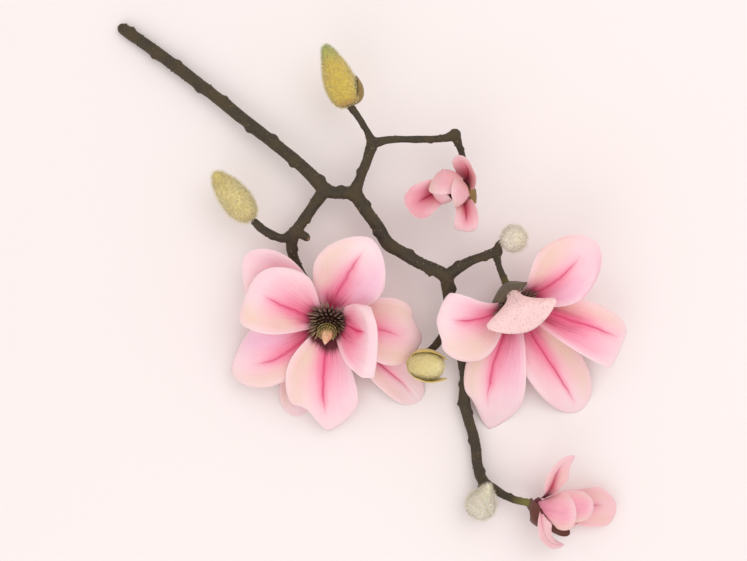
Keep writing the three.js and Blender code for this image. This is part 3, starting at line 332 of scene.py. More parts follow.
def cubic(stations, u):
    """The cubic through four stations at 0, 1/3, 2/3 and 1."""
    a, b, c, d = (np.array(p, float) for p in stations)
    u = u[..., None]
    third = 1 / 3
    return (-4.5 * (u - third) * (u - 2 * third) * (u - 1) * a + 13.5 * u * (u - 2 * third) * (u - 1) * b
            - 13.5 * u * (u - third) * (u - 1) * c + 4.5 * u * (u - third) * (u - 2 * third) * d)


def smooth_line(stations, t):
    """Points on the centripetal curve through the stations, t from 0 to their count less one."""
    p = np.array(stations, float)
    p = np.vstack([2 * p[0] - p[1], p, 2 * p[-1] - p[-2]])
    k = np.minimum(np.floor(t).astype(int), len(p) - 4)
    w = (t - k)[:, None]
    p0, p1, p2, p3 = p[k], p[k + 1], p[k + 2], p[k + 3]
    dims = min(3, p.shape[1])

    def gap(a, b):
        return np.maximum(np.linalg.norm((b - a)[:, :dims], axis=1, keepdims=True), 1e-6) ** 0.5

    d0, d1, d2 = gap(p0, p1), gap(p1, p2), gap(p2, p3)
    m1 = ((p1 - p0) / d0 - (p2 - p0) / (d0 + d1) + (p2 - p1) / d1) * d1
    m2 = ((p2 - p1) / d1 - (p3 - p1) / (d1 + d2) + (p3 - p2) / d2) * d1
    return (p1 + m1 * w + (-3 * p1 + 3 * p2 - 2 * m1 - m2) * w ** 2 + (2 * p1 - 2 * p2 + m1 + m2) * w ** 3)


def axes_of(way):
    """The way as an axis, and two directions across it."""
    axis = unit(np.array(way, float))
    first = unit(np.cross(axis, [0, 1, 0.3]))
    return axis, first, np.cross(axis, first)


def circle(count):
    """The cosine and sine of evenly spaced angles."""
    return [(math.cos(2 * math.pi * j / count), math.sin(2 * math.pi * j / count)) for j in range(count)]


def ease(value, low, high):
    """The value's share of the way from low to high, kept from 0 to 1."""
    return np.clip((value - low) / (high - low), 0, 1)


# Pieces of mesh: each part holds points in millimetres, faces, across, along and its masks
def grid_faces(rows, columns, closed=False):
    """The quads of a grid of points, closed if its last column meets its first."""
    width = columns if closed else columns + 1
    faces = []
    for i in range(rows):
        for j in range(columns):
            k = (j + 1) % columns if closed else j + 1
            a = i * width
            faces.append((a + j, a + k, a + width + k, a + width + j))
    return faces


def blade_sheet(row, s, v, waves):
    """The middle sheet of a blade over a grid of s, from claw to tip, and v, from rim to rim."""
    side = np.abs(v)
    right = v > 0

    def pick(pair):
        return np.where(right, pair[1], pair[0])

    peak = pick(row["peak"])
    blunt = pick(row["tip"])
    end = peak + (1 - peak) * (1 - side ** blunt) ** (1 / np.maximum(1.2, blunt))
    for which, centre, spread, depth in row["notches"]:
        inner = 0.5 - 0.5 * np.cos(math.pi * np.minimum(side / centre, 1))
        outer = np.exp(-(np.maximum(side - centre, 0) / spread) ** 2)
        end = end - depth * inner * outer * (right == bool(which))
    u = s * end
    fill = np.sin(math.pi / 2 * np.clip(s / row["full"], 0, 1)) ** row["waist"]
    half = row["claw"] + (pick(row["width"]) - row["claw"]) * fill
    here = cubic(row["spine"], u)
    along = unit(cubic(row["spine"], u + 0.01) - here)
    claw_look, tip_look = (np.array(f, float) for f in row["face"])
    look = claw_look + (tip_look - claw_look) * u[..., None]
    inward = unit(look - np.sum(look * along, axis=-1, keepdims=True) * along)
    sideways = np.cross(along, inward)
    cup = np.radians(row["cup"][0] + (row["cup"][1] - row["cup"][0]) * s)
    roll = np.radians(pick(row["roll"])) * s
    lip = np.radians(pick(row["lip"])) * np.clip(s, 0, 1)
    across = np.zeros_like(side)
    lift = np.zeros_like(side)
    for i in range(CUP_STEPS):
        q = side * (i + 0.5) / CUP_STEPS
        heading = cup * q + roll * ease(q, ROLL_FROM, 1) ** 2 + lip * ease(q, LIP_FROM, 1) ** 2
        across += np.cos(heading) * side / CUP_STEPS
        lift += np.sin(heading) * side / CUP_STEPS
    fade = ease(s, 0, 0.15) * ease(1 - s, 0, 0.3)
    height = lift * half - row["crease"] * np.exp(-(v / CREASE_WIDTH) ** 2) * fade
    for amount, turns, phase in waves:
        height = height + amount * side ** 3 * s * np.sin(turns * u * math.pi + phase + right * 2)
    last = ease(s, CURL_FROM, 1) ** 2
    height = height + row["curl"] * last
    here = here - along * (row["fold"] * last)[..., None]
    return here + sideways * (across * half * np.sign(v))[..., None] + inward * height[..., None]


def blade_part(given, rows, columns, thick, seed, plain=None):
    """A thin closed blade with its two faces, its map and its colour masks."""
    row = {**BLADE_PLAIN, **(plain or {}), **given}
    row.update({key: np.broadcast_to(row[key], 2) for key in SIDED})
    chance = random.Random(seed)
    waves = []
    for turns in WAVE_TURNS:
        waves.append((row["ripple"] * chance.uniform(0.5, 1), turns, chance.uniform(0, 6.28)))
    s = np.linspace(ROOT, 1, rows + 1)[:, None] * np.ones(columns + 1)
    v = np.ones((rows + 1, 1)) * RIM * np.sin(math.pi * (np.arange(columns + 1) / columns - 0.5))
    sheet = blade_sheet(row, s, v, waves)
    height = sheet[..., 2]
    sheet[..., 2] = (height + np.sqrt(height ** 2 + TABLE_BEND)) / 2
    normal = unit(np.cross(np.gradient(sheet, axis=1), np.gradient(sheet, axis=0)))
    edge = np.concatenate([sheet[:, 0], sheet[:, -1], sheet[-1]])
    flat = sheet.reshape(-1, 3)
    rim = np.array([np.min(np.linalg.norm(edge - p, axis=1)) for p in flat])
    body = thick * (THIN_RIM + (1 - THIN_RIM) * ease(rim, 0, RIM_REACH))
    push = (normal.reshape(-1, 3).T * body / 2).T
    points = np.concatenate([flat + push, flat - push])
    count = len(flat)
    width = columns + 1
    faces = grid_faces(rows, columns)
    faces += [tuple(count + k for k in reversed(face)) for face in faces]
    for i in range(rows):
        a, b = i * width, (i + 1) * width
        faces.append((a, b, count + b, count + a))
        faces.append((b + columns, a + columns, count + a + columns, count + b + columns))
    for j in range(columns):
        last = rows * width + j
        faces.append((j + 1, j, count + j, count + j + 1))
        faces.append((last, last + 1, count + last + 1, count + last))
    sv, vv = s.ravel(), v.ravel()

    def sides(pair):
        """A mask that grows from the midrib to the rim of each side."""
        return np.tile(np.where(vv > 0, pair[1], pair[0]) * ease(np.abs(vv), *SIDE_TINT) ** 1.2, 2)

    masks = {"rim": np.tile(rim / 10, 2), "inner": np.repeat([1.0, 0.0], count),
             "cream": sides(row["cream"]), "lilac": sides(row["lilac"])}
    whole = {"rib_start": row["rib"][0], "rib_end": row["rib"][1]}
    whole.update({key: row[key] for key in ("deep", "speckle", "flush", "throat")})
    masks.update({key: np.full(2 * count, float(value)) for key, value in whole.items()})
    return dict(points=points, faces=faces, across=np.tile(vv, 2), along=np.tile(sv, 2), masks=masks)


def turned_part(base, way, outline, sides, lump=0, seed=0):
    """A closed body turned round the way from base; outline holds [distance along, radius] pairs."""
    axis, first, second = axes_of(way)
    base = np.array(base, float)
    low_end, high_end = outline[0][0], outline[-1][0]
    rings = [pair for pair in outline if pair[1] > 0]
    spokes = circle(sides)
    points = []
    along = []
    for height, radius in rings:
        for cosine, sine in spokes:
            out = first * cosine + second * sine
            spot = base + axis * height + out * radius
            swell = 1 + lump * noise.noise(Vector(spot) * 0.22 + Vector((seed, 0, 0)))
            points.append(base + axis * height + out * radius * swell)
            along.append((height - low_end) / (high_end - low_end))
    faces = grid_faces(len(rings) - 1, sides, closed=True)
    low, high = len(points), len(points) + 1
    points += [base + axis * low_end, base + axis * high_end]
    along += [0, 1]
    top = (len(rings) - 1) * sides
    for j in range(sides):
        k = (j + 1) % sides
        faces += [(k, j, low), (top + j, top + k, high)]
    return dict(points=np.array(points), faces=faces, across=np.zeros(len(points)),
                along=np.array(along), masks={})


def smooth_outline(outline, count):
    """A finer outline along a smooth curve through the given one, from pole to pole."""
    fine = smooth_line(outline, np.linspace(0, len(outline) - 1, count))
    fine[:, 0] = np.clip(fine[:, 0], outline[0][0], outline[-1][0])
    fine[:, 1] = np.maximum(fine[:, 1], 0)
    fine[[0, -1], 1] = 0
    return fine.tolist()


def new_object(name, data):
    made = bpy.data.objects.new(name, data)
    bpy.context.scene.collection.objects.link(made)
    return made


def add_masks(mesh, masks):
    """Gives a mesh values on its points, a number or a vector for each."""
    for key, values in masks.items():
        values = np.array(values, np.float32)
        kind, field = ("FLOAT", "value") if values.ndim == 1 else ("FLOAT_VECTOR", "vector")
        mesh.attributes.new(key, kind, "POINT").data.foreach_set(field, values.ravel())


def merged(name, parts):
    """One mesh, in metres, from mesh parts."""
    points = np.concatenate([place(part["points"]) for part in parts])
    faces = []
    first = 0
    for part in parts:
        faces += [tuple(first + k for k in face) for face in part["faces"]]
        first += len(part["points"])
    mesh = bpy.data.meshes.new(name)
    mesh.from_pydata(points.tolist(), [], faces)
    mesh.shade_smooth()
    return mesh


def make_piece(name, parts, material):
    """One object from mesh parts, with the map and masks that its material reads."""
    mesh = merged(name, parts)
    corners = np.zeros(len(mesh.loops), int)
    mesh.loops.foreach_get("vertex_index", corners)
    across = np.concatenate([part["across"] for part in parts])
    along = np.concatenate([part["along"] for part in parts])
    layer = mesh.uv_layers.new(name="blade")
    layer.data.foreach_set("uv", np.stack([0.5 + 0.5 * across[corners], along[corners]], axis=1).ravel())
    for key in sorted({key for part in parts for key in part["masks"]}):
        values = [part["masks"].get(key, np.zeros(len(part["points"]))) for part in parts]
        add_masks(mesh, {key: np.concatenate(values)})
    mesh.materials.append(material)
    return new_object(name, mesh)


# Node trees
class Value:
    """An output of a node that takes part in plain arithmetic."""

    def __init__(self, socket):
        self.socket = socket
        self.tree = socket.id_data

    def __add__(self, other):
        return calc("ADD", self, other)

    def __sub__(self, other):
        return calc("SUBTRACT", self, other)

    def __rsub__(self, other):
        return calc("SUBTRACT", other, self)

    def __mul__(self, other):
        return calc("MULTIPLY", self, other)


def feed(socket, value):
    """Gives an input a plain value, or a link from another socket."""
    if isinstance(value, Value):
        value = value.socket
    if isinstance(value, bpy.types.NodeSocket):
        socket.id_data.links.new(value, socket)
    else:
        socket.default_value = value


def node(tree, kind, values, **settings):
    """A new node with its settings, and with values for its inputs by name or number."""
    made = tree.nodes.new(kind)
    for key, value in settings.items():
        setattr(made, key, value)
    for key, value in values.items():
        feed(made.inputs[key], value)
    return made


def calc(operation, *values):
    tree = next(value.tree for value in values if isinstance(value, Value))
    made = node(tree, "ShaderNodeMath", dict(enumerate(values)), operation=operation)
    return Value(made.outputs[0])


def step(value, low, high, start=0.0, end=1.0):
    """A smooth step from start to end as the value goes from low to high."""
    values = {"Value": value, "From Min": low, "From Max": high, "To Min": start, "To Max": end}
    made = node(value.tree, "ShaderNodeMapRange", values, interpolation_type="SMOOTHSTEP")
    return Value(made.outputs["Result"])


def colour(shade):
    """A value as it is, or a colour given from 0 to 255 as the linear one that the nodes use."""
    if isinstance(shade, Value):
        return shade
    parts = [part / 255 for part in shade]
    linear = [part / 12.92 if part <= 0.04045 else ((part + 0.055) / 1.055) ** 2.4 for part in parts]
    return (*linear, 1.0)


def tint(share, below, above):
    """The colour above laid over the colour below by its share."""
    values = {0: share, 6: colour(below), 7: colour(above)}
    return Value(node(share.tree, "ShaderNodeMix", values, data_type="RGBA").outputs[2])


def ramp(value, stops):
    """A colour that runs through the stops, each a place from 0 to 1 and its colour."""
    made = node(value.tree, "ShaderNodeValToRGB", {"Fac": value})
    line = made.color_ramp
    for element, (position, shade) in ((line.elements[0], stops[0]), (line.elements[1], stops[-1])):
        element.position = position
        element.color = colour(shade)
    for position, shade in stops[1:-1]:
        line.elements.new(position).color = colour(shade)
    return Value(made.outputs["Color"])


def cloudy(spot, scale, detail=2.0, rough=0.5):
    values = {"Vector": spot, "Scale": scale, "Detail": detail, "Roughness": rough}
    return Value(node(spot.tree, "ShaderNodeTexNoise", values).outputs["Fac"])


def floats(*names):
    return dict.fromkeys(names, "Float")


def new_group(kind, name, inputs, outputs):
    """A node group: its tree, the values it is given, by name, and the inputs of its output node."""
    tree = bpy.data.node_groups.new(name, kind + "NodeTree")
    for way, sockets in (("INPUT", inputs), ("OUTPUT", outputs)):
        for label, socket_kind in sockets.items():
            tree.interface.new_socket(label, in_out=way, socket_type="NodeSocket" + socket_kind)
    made = tree.nodes.new("NodeGroupInput")
    given = {label: Value(made.outputs[label]) for label in inputs}
    return tree, given, tree.nodes.new("NodeGroupOutput").inputs


def use_group(group, values):
    """The outputs of a shader group, in their order."""
    made = node(values["Place"].tree, "ShaderNodeGroup", values, node_tree=group)
    return [Value(socket) for socket in made.outputs]


def vein_group():
    """Midrib, its glow, fanning veins and the height they give, from a blade's own map."""
    numbers = floats("Across", "Along", "Rib Start", "Rib End", "Rib Width", "Vein Count")
    inputs = {"Place": "Vector", **numbers}
    outputs = floats("Midrib", "Glow", "Veins", "Height")
    tree, given, out = new_group("Shader", "blade_veins", inputs, outputs)
    across = given["Across"] + (cloudy(given["Place"], 80) - 0.5) * 0.18
    along, start, end = given["Along"], given["Rib Start"], given["Rib End"]
    side = calc("ABSOLUTE", across)
    reach = step(along, start, start + 0.15) * step(along, end * 0.7, end, 1, 0)
    wide = given["Rib Width"] * step(along, 0.1, 0.9, 1.8, 0.6)
    rib = step(side, 0, wide, 1, 0) * reach
    line = node(tree, "ShaderNodeCombineXYZ", {"X": across * given["Vein Count"], "Y": along * 1.6})
    streaks = step(cloudy(Value(line.outputs[0]), 1, 3, 0.6), 0.45, 0.75)
    feed(out["Midrib"], rib)
    feed(out["Glow"], step(side, 0, wide * 5, 1, 0) * reach)
    feed(out["Veins"], streaks * step(along, 0.3, 1.0, 1, 0.2))
    feed(out["Height"], streaks * 0.35 - rib)
    return tree


def grain_group():
    """Soft clouds and a fine grain, for tints, roughness and bump."""
    inputs = {"Place": "Vector", **floats("Cloud Scale", "Grain Scale")}
    tree, given, out = new_group("Shader", "soft_grain", inputs, floats("Cloud", "Grain"))
    feed(out["Cloud"], cloudy(given["Place"], given["Cloud Scale"], 3))
    feed(out["Grain"], cloudy(given["Place"], given["Grain Scale"], 4, 0.6))
    return tree


def speckle_group():
    """Small irregular specks that come and go over the surface."""
    inputs = {"Place": "Vector", **floats("Scale", "Size")}
    tree, given, out = new_group("Shader", "fine_specks", inputs, floats("Specks"))
    spots = node(tree, "ShaderNodeTexVoronoi", {"Vector": given["Place"], "Scale": given["Scale"]})
    near = step(Value(spots.outputs["Distance"]), given["Size"] * 0.4, given["Size"], 1, 0)
    feed(out["Specks"], near * step(cloudy(given["Place"], 260, 2), 0.38, 0.56))
    return tree


VEINS = vein_group()
GRAIN = grain_group()
SPECKS = speckle_group()


class Look:
    """A material in the making."""

    def __init__(self, name):
        self.material = bpy.data.materials.new(name)
        self.material.use_nodes = True
        self.tree = self.material.node_tree
        self.place = Value(node(self.tree, "ShaderNodeTexCoord", {}).outputs["Object"])

    def mask(self, name):
        return Value(node(self.tree, "ShaderNodeAttribute", {}, attribute_name=name).outputs["Fac"])

    def grain(self, cloud_scale, grain_scale):
        scales = {"Cloud Scale": cloud_scale, "Grain Scale": grain_scale}
        return use_group(GRAIN, {"Place": self.place, **scales})

    def finish(self, shade, roughness, bump=None, more=None):
        """The material; bump holds a height, its distance in metres and its strength."""
        values = {"Base Color": shade, "Roughness": roughness, **(more or {})}
        if bump:
            relief = node(self.tree, "ShaderNodeBump", dict(zip(("Height", "Distance", "Strength"), bump)))
            values["Normal"] = relief.outputs["Normal"]
        shader = self.tree.nodes["Principled BSDF"]
        for key, value in values.items():
            feed(shader.inputs[key], value)
        return self.material


# Materials
def tepal_material(name, tints):
    look = Look(name)
    blade_map = node(look.tree, "ShaderNodeUVMap", {}, uv_map="blade").outputs["UV"]
    split = node(look.tree, "ShaderNodeSeparateXYZ", {"Vector": blade_map})
    across = Value(split.outputs["X"]) * 2 - 1
    along = Value(split.outputs["Y"])
    midrib, glow, veins, height = use_group(VEINS, {
        "Place": look.place, "Across": across, "Along": along, "Rib Start": look.mask("rib_start"),
        "Rib End": look.mask("rib_end"), "Rib Width": 0.055, "Vein Count": 15,
    })
    cloud, grain = look.grain(38, 1400)
    rim, deep, throat, speckle = (look.mask(key) for key in ("rim", "deep", "throat", "speckle"))
    reach = along - look.mask("flush") + across * across * 0.16
    reach = reach + veins * -0.17 + (cloud - 0.5) * 0.3
    inside = ramp(reach, tints["inside"])
    clear = step(along, 0.12, 0.42)
    # The cream is partly the tepals' own tint and partly painted shade on the sides turned from the light.
    cream_and_shade = look.mask("cream") * step(cloud, 0.3, 0.7, 0.6, 1) * clear
    inside = tint(cream_and_shade, inside, tints["cream"])
    cool = look.mask("lilac") * step(cloud, 0.35, 0.65, 0.9, 0.4) * clear
    inside = tint(cool, inside, tints["lilac"])
    inside = tint(step(rim, 0.1, 0.6, 0.55, 0), inside, tints["margin"])
    inside = tint(glow * 0.55 * deep, inside, tints["glow"])
    inside = tint(midrib * 0.62 * deep, inside, tints["rib"])
    # The throat is the tepals' deep base colour together with painted shade round the stamens.
    # A throat above 1 reaches further up the blade.
    further = calc("MAXIMUM", throat - 1, 0) * -0.12
    dark = step(along + veins * -0.04 + further, 0.0, 0.19, 1, 0)
    inside = tint(dark * throat, inside, tints["throat"])
    # A painted highlight along the rounded rims of the inner face, beyond the claw.
    lit = step(rim, 0.02, 0.14, 0.7, 0) * step(along, 0.2, 0.45)
    inside = tint(lit, inside, tints["edge"])
    outside = tint(step(rim, 0.0, 0.9), tints["back_edge"], tints["back"])
    outside = tint(cream_and_shade * 0.8, outside, tints["cream"])
    outside = tint(step(along, 0.0, 0.6, 1, 0) * 0.6, outside, tints["back_base"])
    outside = tint(veins * 0.25, outside, tints["back_base"])
    outside = tint(speckle, outside, tints["speckled"])
    specks, = use_group(SPECKS, {"Place": look.place, "Scale": 900, "Size": 0.42})
    outside = tint(specks * speckle * 0.55, outside, tints["speck"])
    whole = tint(look.mask("inner"), outside, inside)
    relief = (height * 0.8 + grain * 0.12, 0.0005, 0.8)
    return look.finish(whole, step(grain, 0.3, 0.7, 0.48, 0.66), relief, {
        "Sheen Weight": 0.12, "Sheen Roughness": 0.5, "Subsurface Weight": 0.12,
        "Subsurface Radius": (0.003, 0.0012, 0.0012), "Subsurface Scale": 1.0,
    })


LARGE_TINTS = dict(
    inside=[(0.0, (150, 36, 62)), (0.16, (206, 74, 108)), (0.34, (245, 140, 169)), (0.58, (252, 182, 199)),
            (0.82, (253, 211, 219)), (1.0, (253, 224, 227))],
    # cream is partly the tepals' own tint and partly painted shade.
    margin=(253, 212, 220), cream=(242, 208, 192), lilac=(250, 192, 218), glow=(247, 112, 152),
    # throat is deep base colour with painted shade; edge is a painted highlight along the rims.
    rib=(222, 60, 110), throat=(96, 20, 34), edge=(254, 226, 230), back=(250, 196, 206),
    back_edge=(252, 220, 222), back_base=(238, 132, 162), speckled=(252, 212, 210), speck=(166, 100, 94))
# As above, cream and throat are partly painted shade, and edge is a painted highlight.
TOP_TINTS = dict(
    inside=[(0.0, (100, 22, 40)), (0.2, (156, 48, 72)), (0.4, (204, 92, 114)), (0.62, (230, 144, 160)),
            (0.85, (242, 178, 188)), (1.0, (246, 200, 204))],
    margin=(246, 200, 206), cream=(244, 206, 190), lilac=(240, 160, 198), glow=(190, 58, 92),
    rib=(146, 28, 58), throat=(92, 20, 34), edge=(246, 202, 206), back=(243, 178, 186),
    back_edge=(248, 202, 208), back_base=(206, 108, 130), speckled=(247, 186, 196), speck=(160, 100, 100))
LOWER_TINTS = {**TOP_TINTS, "back": (246, 166, 184), "back_edge": (249, 198, 206),
               "back_base": (216, 84, 126), "margin": (248, 192, 202)}


def bark_material():
    look = Look("dark_bark")
    cloud, grain = look.grain(90, 700)
    shade = tint(step(cloud, 0.3, 0.7), (46, 37, 25), (74, 62, 41))
    shade = tint(step(grain, 0.35, 0.7) * 0.25, shade, (94, 80, 54))
    shade = tint(look.mask("young"), shade, (118, 112, 52))
    shade = tint(look.mask("cut"), shade, (150, 124, 88))
    return look.finish(shade, step(cloud, 0.3, 0.7, 0.62, 0.85), (cloud + grain * 0.45, 0.0012, 0.7))


def wart_material():
    look = Look("pale_bark_warts")
    cloud, grain = look.grain(200, 2000)
    shade = tint(step(cloud, 0.3, 0.7), (70, 58, 42), (112, 96, 70))
    return look.finish(shade, 0.8, (grain, 0.0004, 0.6))


def fuzz_material(name, base, tip, root, dot, hair=False):
    """A bud's skin or hair: from the root's tint over the base's to the tip's, with darker dots."""
    look = Look(name)
    cloud, grain = look.grain(480, 1600)
    share = look.mask("share")
    shade = tint(step(share, 0.62, 1.0), base, tip)
    shade = tint(step(share, 0.0, 0.16, 1, 0), shade, root)
    shade = tint(step(cloud, 0.34, 0.6, 0.5, 0), shade, dot)
    if hair:
        # Painted light: the hairs turn paler toward their ends, against the shade they cast on one another.
        shade = tint(step(look.mask("height"), 0.2, 1.0, 0, 0.7), shade, (255, 247, 206))
    return look.finish(shade, step(grain, 0.3, 0.7, 0.7, 0.95), None if hair else (grain, 0.0008, 0.8), {
        "Sheen Weight": 0.3, "Sheen Roughness": 0.4, "Subsurface Weight": 0.4,
        "Subsurface Radius": (0.004, 0.003, 0.002), "Subsurface Scale": 1.0,
    })


def scale_material(name, outer, inner, lip):
    look = Look(name)
    cloud, grain = look.grain(130, 1500)
    shade = tint(look.mask("inner"), outer, inner)
    shade = tint(step(cloud, 0.3, 0.7, 0.45, 0), shade, lip)
    shade = tint(step(look.mask("rim"), 0.0, 0.1, 0.8, 0), shade, lip)
    return look.finish(shade, step(grain, 0.3, 0.7, 0.6, 0.9), (grain, 0.0007, 0.8), {"Sheen Weight": 0.2})


def stamen_material():
    look = Look("dark_stamens")
    cloud, grain = look.grain(300, 2500)
    green = look.mask("green")
    shade = tint(step(cloud, 0.3, 0.7), (44, 10, 16), (76, 22, 28))
    shade = tint(step(green, 0.4, 1.0, 0, 0.7), shade, (96, 84, 30))
    # A painted highlight on the strap rims toward their tips.
    light = step(look.mask("ridge"), 0.45, 1.0) * step(look.mask("share"), 0.3, 0.7)
    shade = tint(light, shade, tint(green, (206, 172, 150), (228, 204, 160)))
    return look.finish(shade, step(cloud, 0.3, 0.7, 0.7, 0.9), (grain, 0.0003, 0.5))


def carpel_material():
    look = Look("green_carpels")
    cloud, grain = look.grain(260, 2200)
    share, strap = look.mask("share"), look.mask("strap")
    shade = tint(step(share, 0.3, 0.6), (122, 112, 40), (246, 200, 158))
    shade = tint((1 - strap) * step(share, 0.8, 1.0), shade, (252, 218, 194))
    shade = tint(strap, shade, (96, 84, 34))
    shade = tint(strap * step(share, 0.3, 0.8), shade, (226, 204, 146))
    shade = tint(step(cloud, 0.35, 0.65, 0.3, 0), shade, (120, 84, 44))
    return look.finish(shade, step(grain, 0.3, 0.7, 0.4, 0.6), (grain, 0.0004, 0.6))


def floor_material():
    look = Look("pale_table")
    return look.finish(tint(cloudy(look.place, 3), (247, 238, 236), (249, 241, 240)), 0.6)


# Geometry Nodes: hairs over a surface, and straps on given points
SHAPE_INPUTS = {"Seed": "Int", "Shape": "Object", "Material": "Material"}


def growing_group(name, *numbers):
    """A geometry group that is given a mesh, numbers, and the shape to copy."""
    geometry = {"Geometry": "Geometry"}
    return new_group("Geometry", name, {**geometry, **floats(*numbers), **SHAPE_INPUTS}, geometry)


def named(tree, name, kind="FLOAT"):
    made = node(tree, "GeometryNodeInputNamedAttribute", {"Name": name}, data_type=kind)
    return Value(made.outputs["Attribute"])


def vector_calc(operation, first, key, second):
    made = node(first.tree, "ShaderNodeVectorMath", {0: first, key: second}, operation=operation)
    return Value(made.outputs[0])


def chance_number(given, low, high):
    """A number from low to high of each point's own."""
    values = {"Seed": given["Seed"], 2: low, 3: high}
    made = node(given["Seed"].tree, "FunctionNodeRandomValue", values, data_type="FLOAT")
    return Value(made.outputs[1])


def put_copies(given, points, turn, size, out):
    """Puts the given shape on the points, as plain mesh."""
    tree = given["Shape"].tree
    shape = node(tree, "GeometryNodeObjectInfo", {"Object": given["Shape"]})
    copies = node(tree, "GeometryNodeInstanceOnPoints", {
        "Points": points.outputs["Points"], "Instance": shape.outputs["Geometry"],
        "Rotation": turn.outputs["Rotation"], "Scale": size,
    })
    real = node(tree, "GeometryNodeRealizeInstances", {"Geometry": copies.outputs["Instances"]})
    dressed = node(tree, "GeometryNodeSetMaterial", {"Geometry": real.outputs["Geometry"],
                                                     "Material": given["Material"]})
    feed(out["Geometry"], dressed.outputs["Geometry"])


def scatter_tree():
    """Copies of a small shape scattered over a surface, leaning towards its growth attribute."""
    tree, given, out = growing_group("scattered_on_surface", "Density", "Length", "Thickness", "Lean",
                                     "Spread")
    points = node(tree, "GeometryNodeDistributePointsOnFaces", {
        "Mesh": given["Geometry"], "Seed": given["Seed"],
        "Density": given["Density"] * named(tree, "cover"),
    })
    leaning = vector_calc("SCALE", named(tree, "growth", "FLOAT_VECTOR"), "Scale", given["Lean"])
    stray = node(tree, "FunctionNodeRandomValue", {"Seed": given["Seed"], 0: (-1, -1, -1), 1: (1, 1, 1)},
                 data_type="FLOAT_VECTOR")
    drift = vector_calc("SCALE", Value(stray.outputs[0]), "Scale", given["Spread"])
    way = vector_calc("ADD", vector_calc("ADD", Value(points.outputs["Normal"]), 1, leaning), 1, drift)
    turn = node(tree, "FunctionNodeAlignRotationToVector", {"Vector": way}, axis="Z")
    size = node(tree, "ShaderNodeCombineXYZ", {
        "X": given["Thickness"], "Y": given["Thickness"],
        "Z": given["Length"] * chance_number(given, 0.6, 1.15),
    })
    put_copies(given, points, turn, size.outputs["Vector"], out)
    return tree


def whorl_tree():
    """Copies of a strap on given points, each turned by the point's own way and up."""
    tree, given, out = growing_group("straps_on_points", "Length", "Variation")
    points = node(tree, "GeometryNodeMeshToPoints", {"Mesh": given["Geometry"]})
    turn = node(tree, "FunctionNodeAxesToRotation", {
        "Primary Axis": named(tree, "way", "FLOAT_VECTOR"),
        "Secondary Axis": named(tree, "up", "FLOAT_VECTOR"),
    }, primary_axis="Z", secondary_axis="X")
    variation = given["Variation"]
    size = given["Length"] * named(tree, "reach") * chance_number(given, 1 - variation, variation + 1)
    put_copies(given, points, turn, size, out)
    return tree


SCATTER = scatter_tree()
WHORL = whorl_tree()


def grown(name, carrier, tree, values):
    """The plain mesh object that a tree grows from its carrier."""
    modifier = carrier.modifiers.new("growth", "NODES")
    modifier.node_group = tree
    for item in tree.interface.items_tree:
        if item.in_out == "INPUT" and item.name in values:
            modifier[item.identifier] = values[item.name]
    depsgraph = bpy.context.evaluated_depsgraph_get()
    evaluated = carrier.evaluated_get(depsgraph)
    mesh = bpy.data.meshes.new_from_object(evaluated, preserve_all_data_layers=True, depsgraph=depsgraph)
    mesh.name = name
    carrier.modifiers.clear()
    return new_object(name, mesh)


def small_shape(name, points, faces, masks):
    """An object that the growing trees copy."""
    mesh = bpy.data.meshes.new(name)
    mesh.from_pydata([tuple(map(float, p)) for p in points], [], faces)
    add_masks(mesh, masks)
    mesh.shade_smooth()
    return new_object(name, mesh)


def hair_shape():
    """A hair of length one: a slim closed spike with a knee."""
    points = []
    for height, radius, bend in ((0, 1, 0), (0.5, 0.7, 0.8)):
        points += [(radius * cosine + bend, radius * sine, height) for cosine, sine in circle(3)]
    points.append((3.2, 0, 1))
    faces = [(2, 1, 0)] + grid_faces(1, 3, closed=True)
    faces += [(3 + j, 3 + (j + 1) % 3, 6) for j in range(3)]
    return small_shape("hair_shape", points, faces, {"height": np.array(points)[:, 2]})


def wart_shape():
    """A low closed bump of height one."""
    points = []
    for height, radius in ((-0.4, 1), (0.6, 0.7)):
        points += [(radius * cosine, radius * sine, height) for cosine, sine in circle(5)]
    points.append((0, 0, 1))
    faces = [(4, 3, 2, 1, 0)] + grid_faces(1, 5, closed=True)
    faces += [(5 + j, 5 + (j + 1) % 5, 10) for j in range(5)]
    return small_shape("wart_shape", points, faces, {})


def strap_shape(name, half_width, thick, bend, steps):
    """A channelled strap of length one along Z that bends towards X; its two rims are marked."""
    section = ((thick, 1, 1), (0.3 * thick, 0, 0.6), (thick, -1, 1), (0.3 * thick, -1, 0.4), (-thick, 0, 0),
               (0.3 * thick, 1, 0.4))
    sides = len(section)
    points = []
    ridge = []
    share = []
    for i in range(steps + 1):
        t = i / steps
        narrow = 0.7 + 0.6 * t if t < 0.5 else 1 - 0.75 * ((t - 0.5) / 0.5) ** 2
        for x, y, top in section:
            points.append((bend * t * t + x * narrow, y * half_width * narrow, t))
            ridge.append(top)
            share.append(t)
    faces = [(a, d, c, b) for a, b, c, d in grid_faces(steps, sides, closed=True)]
    faces.append(tuple(range(sides)))
    faces.append(tuple(sides * steps + j for j in reversed(range(sides))))
    return small_shape(name, points, faces, {"ridge": ridge, "share": share, "strap": [1] * len(points)})


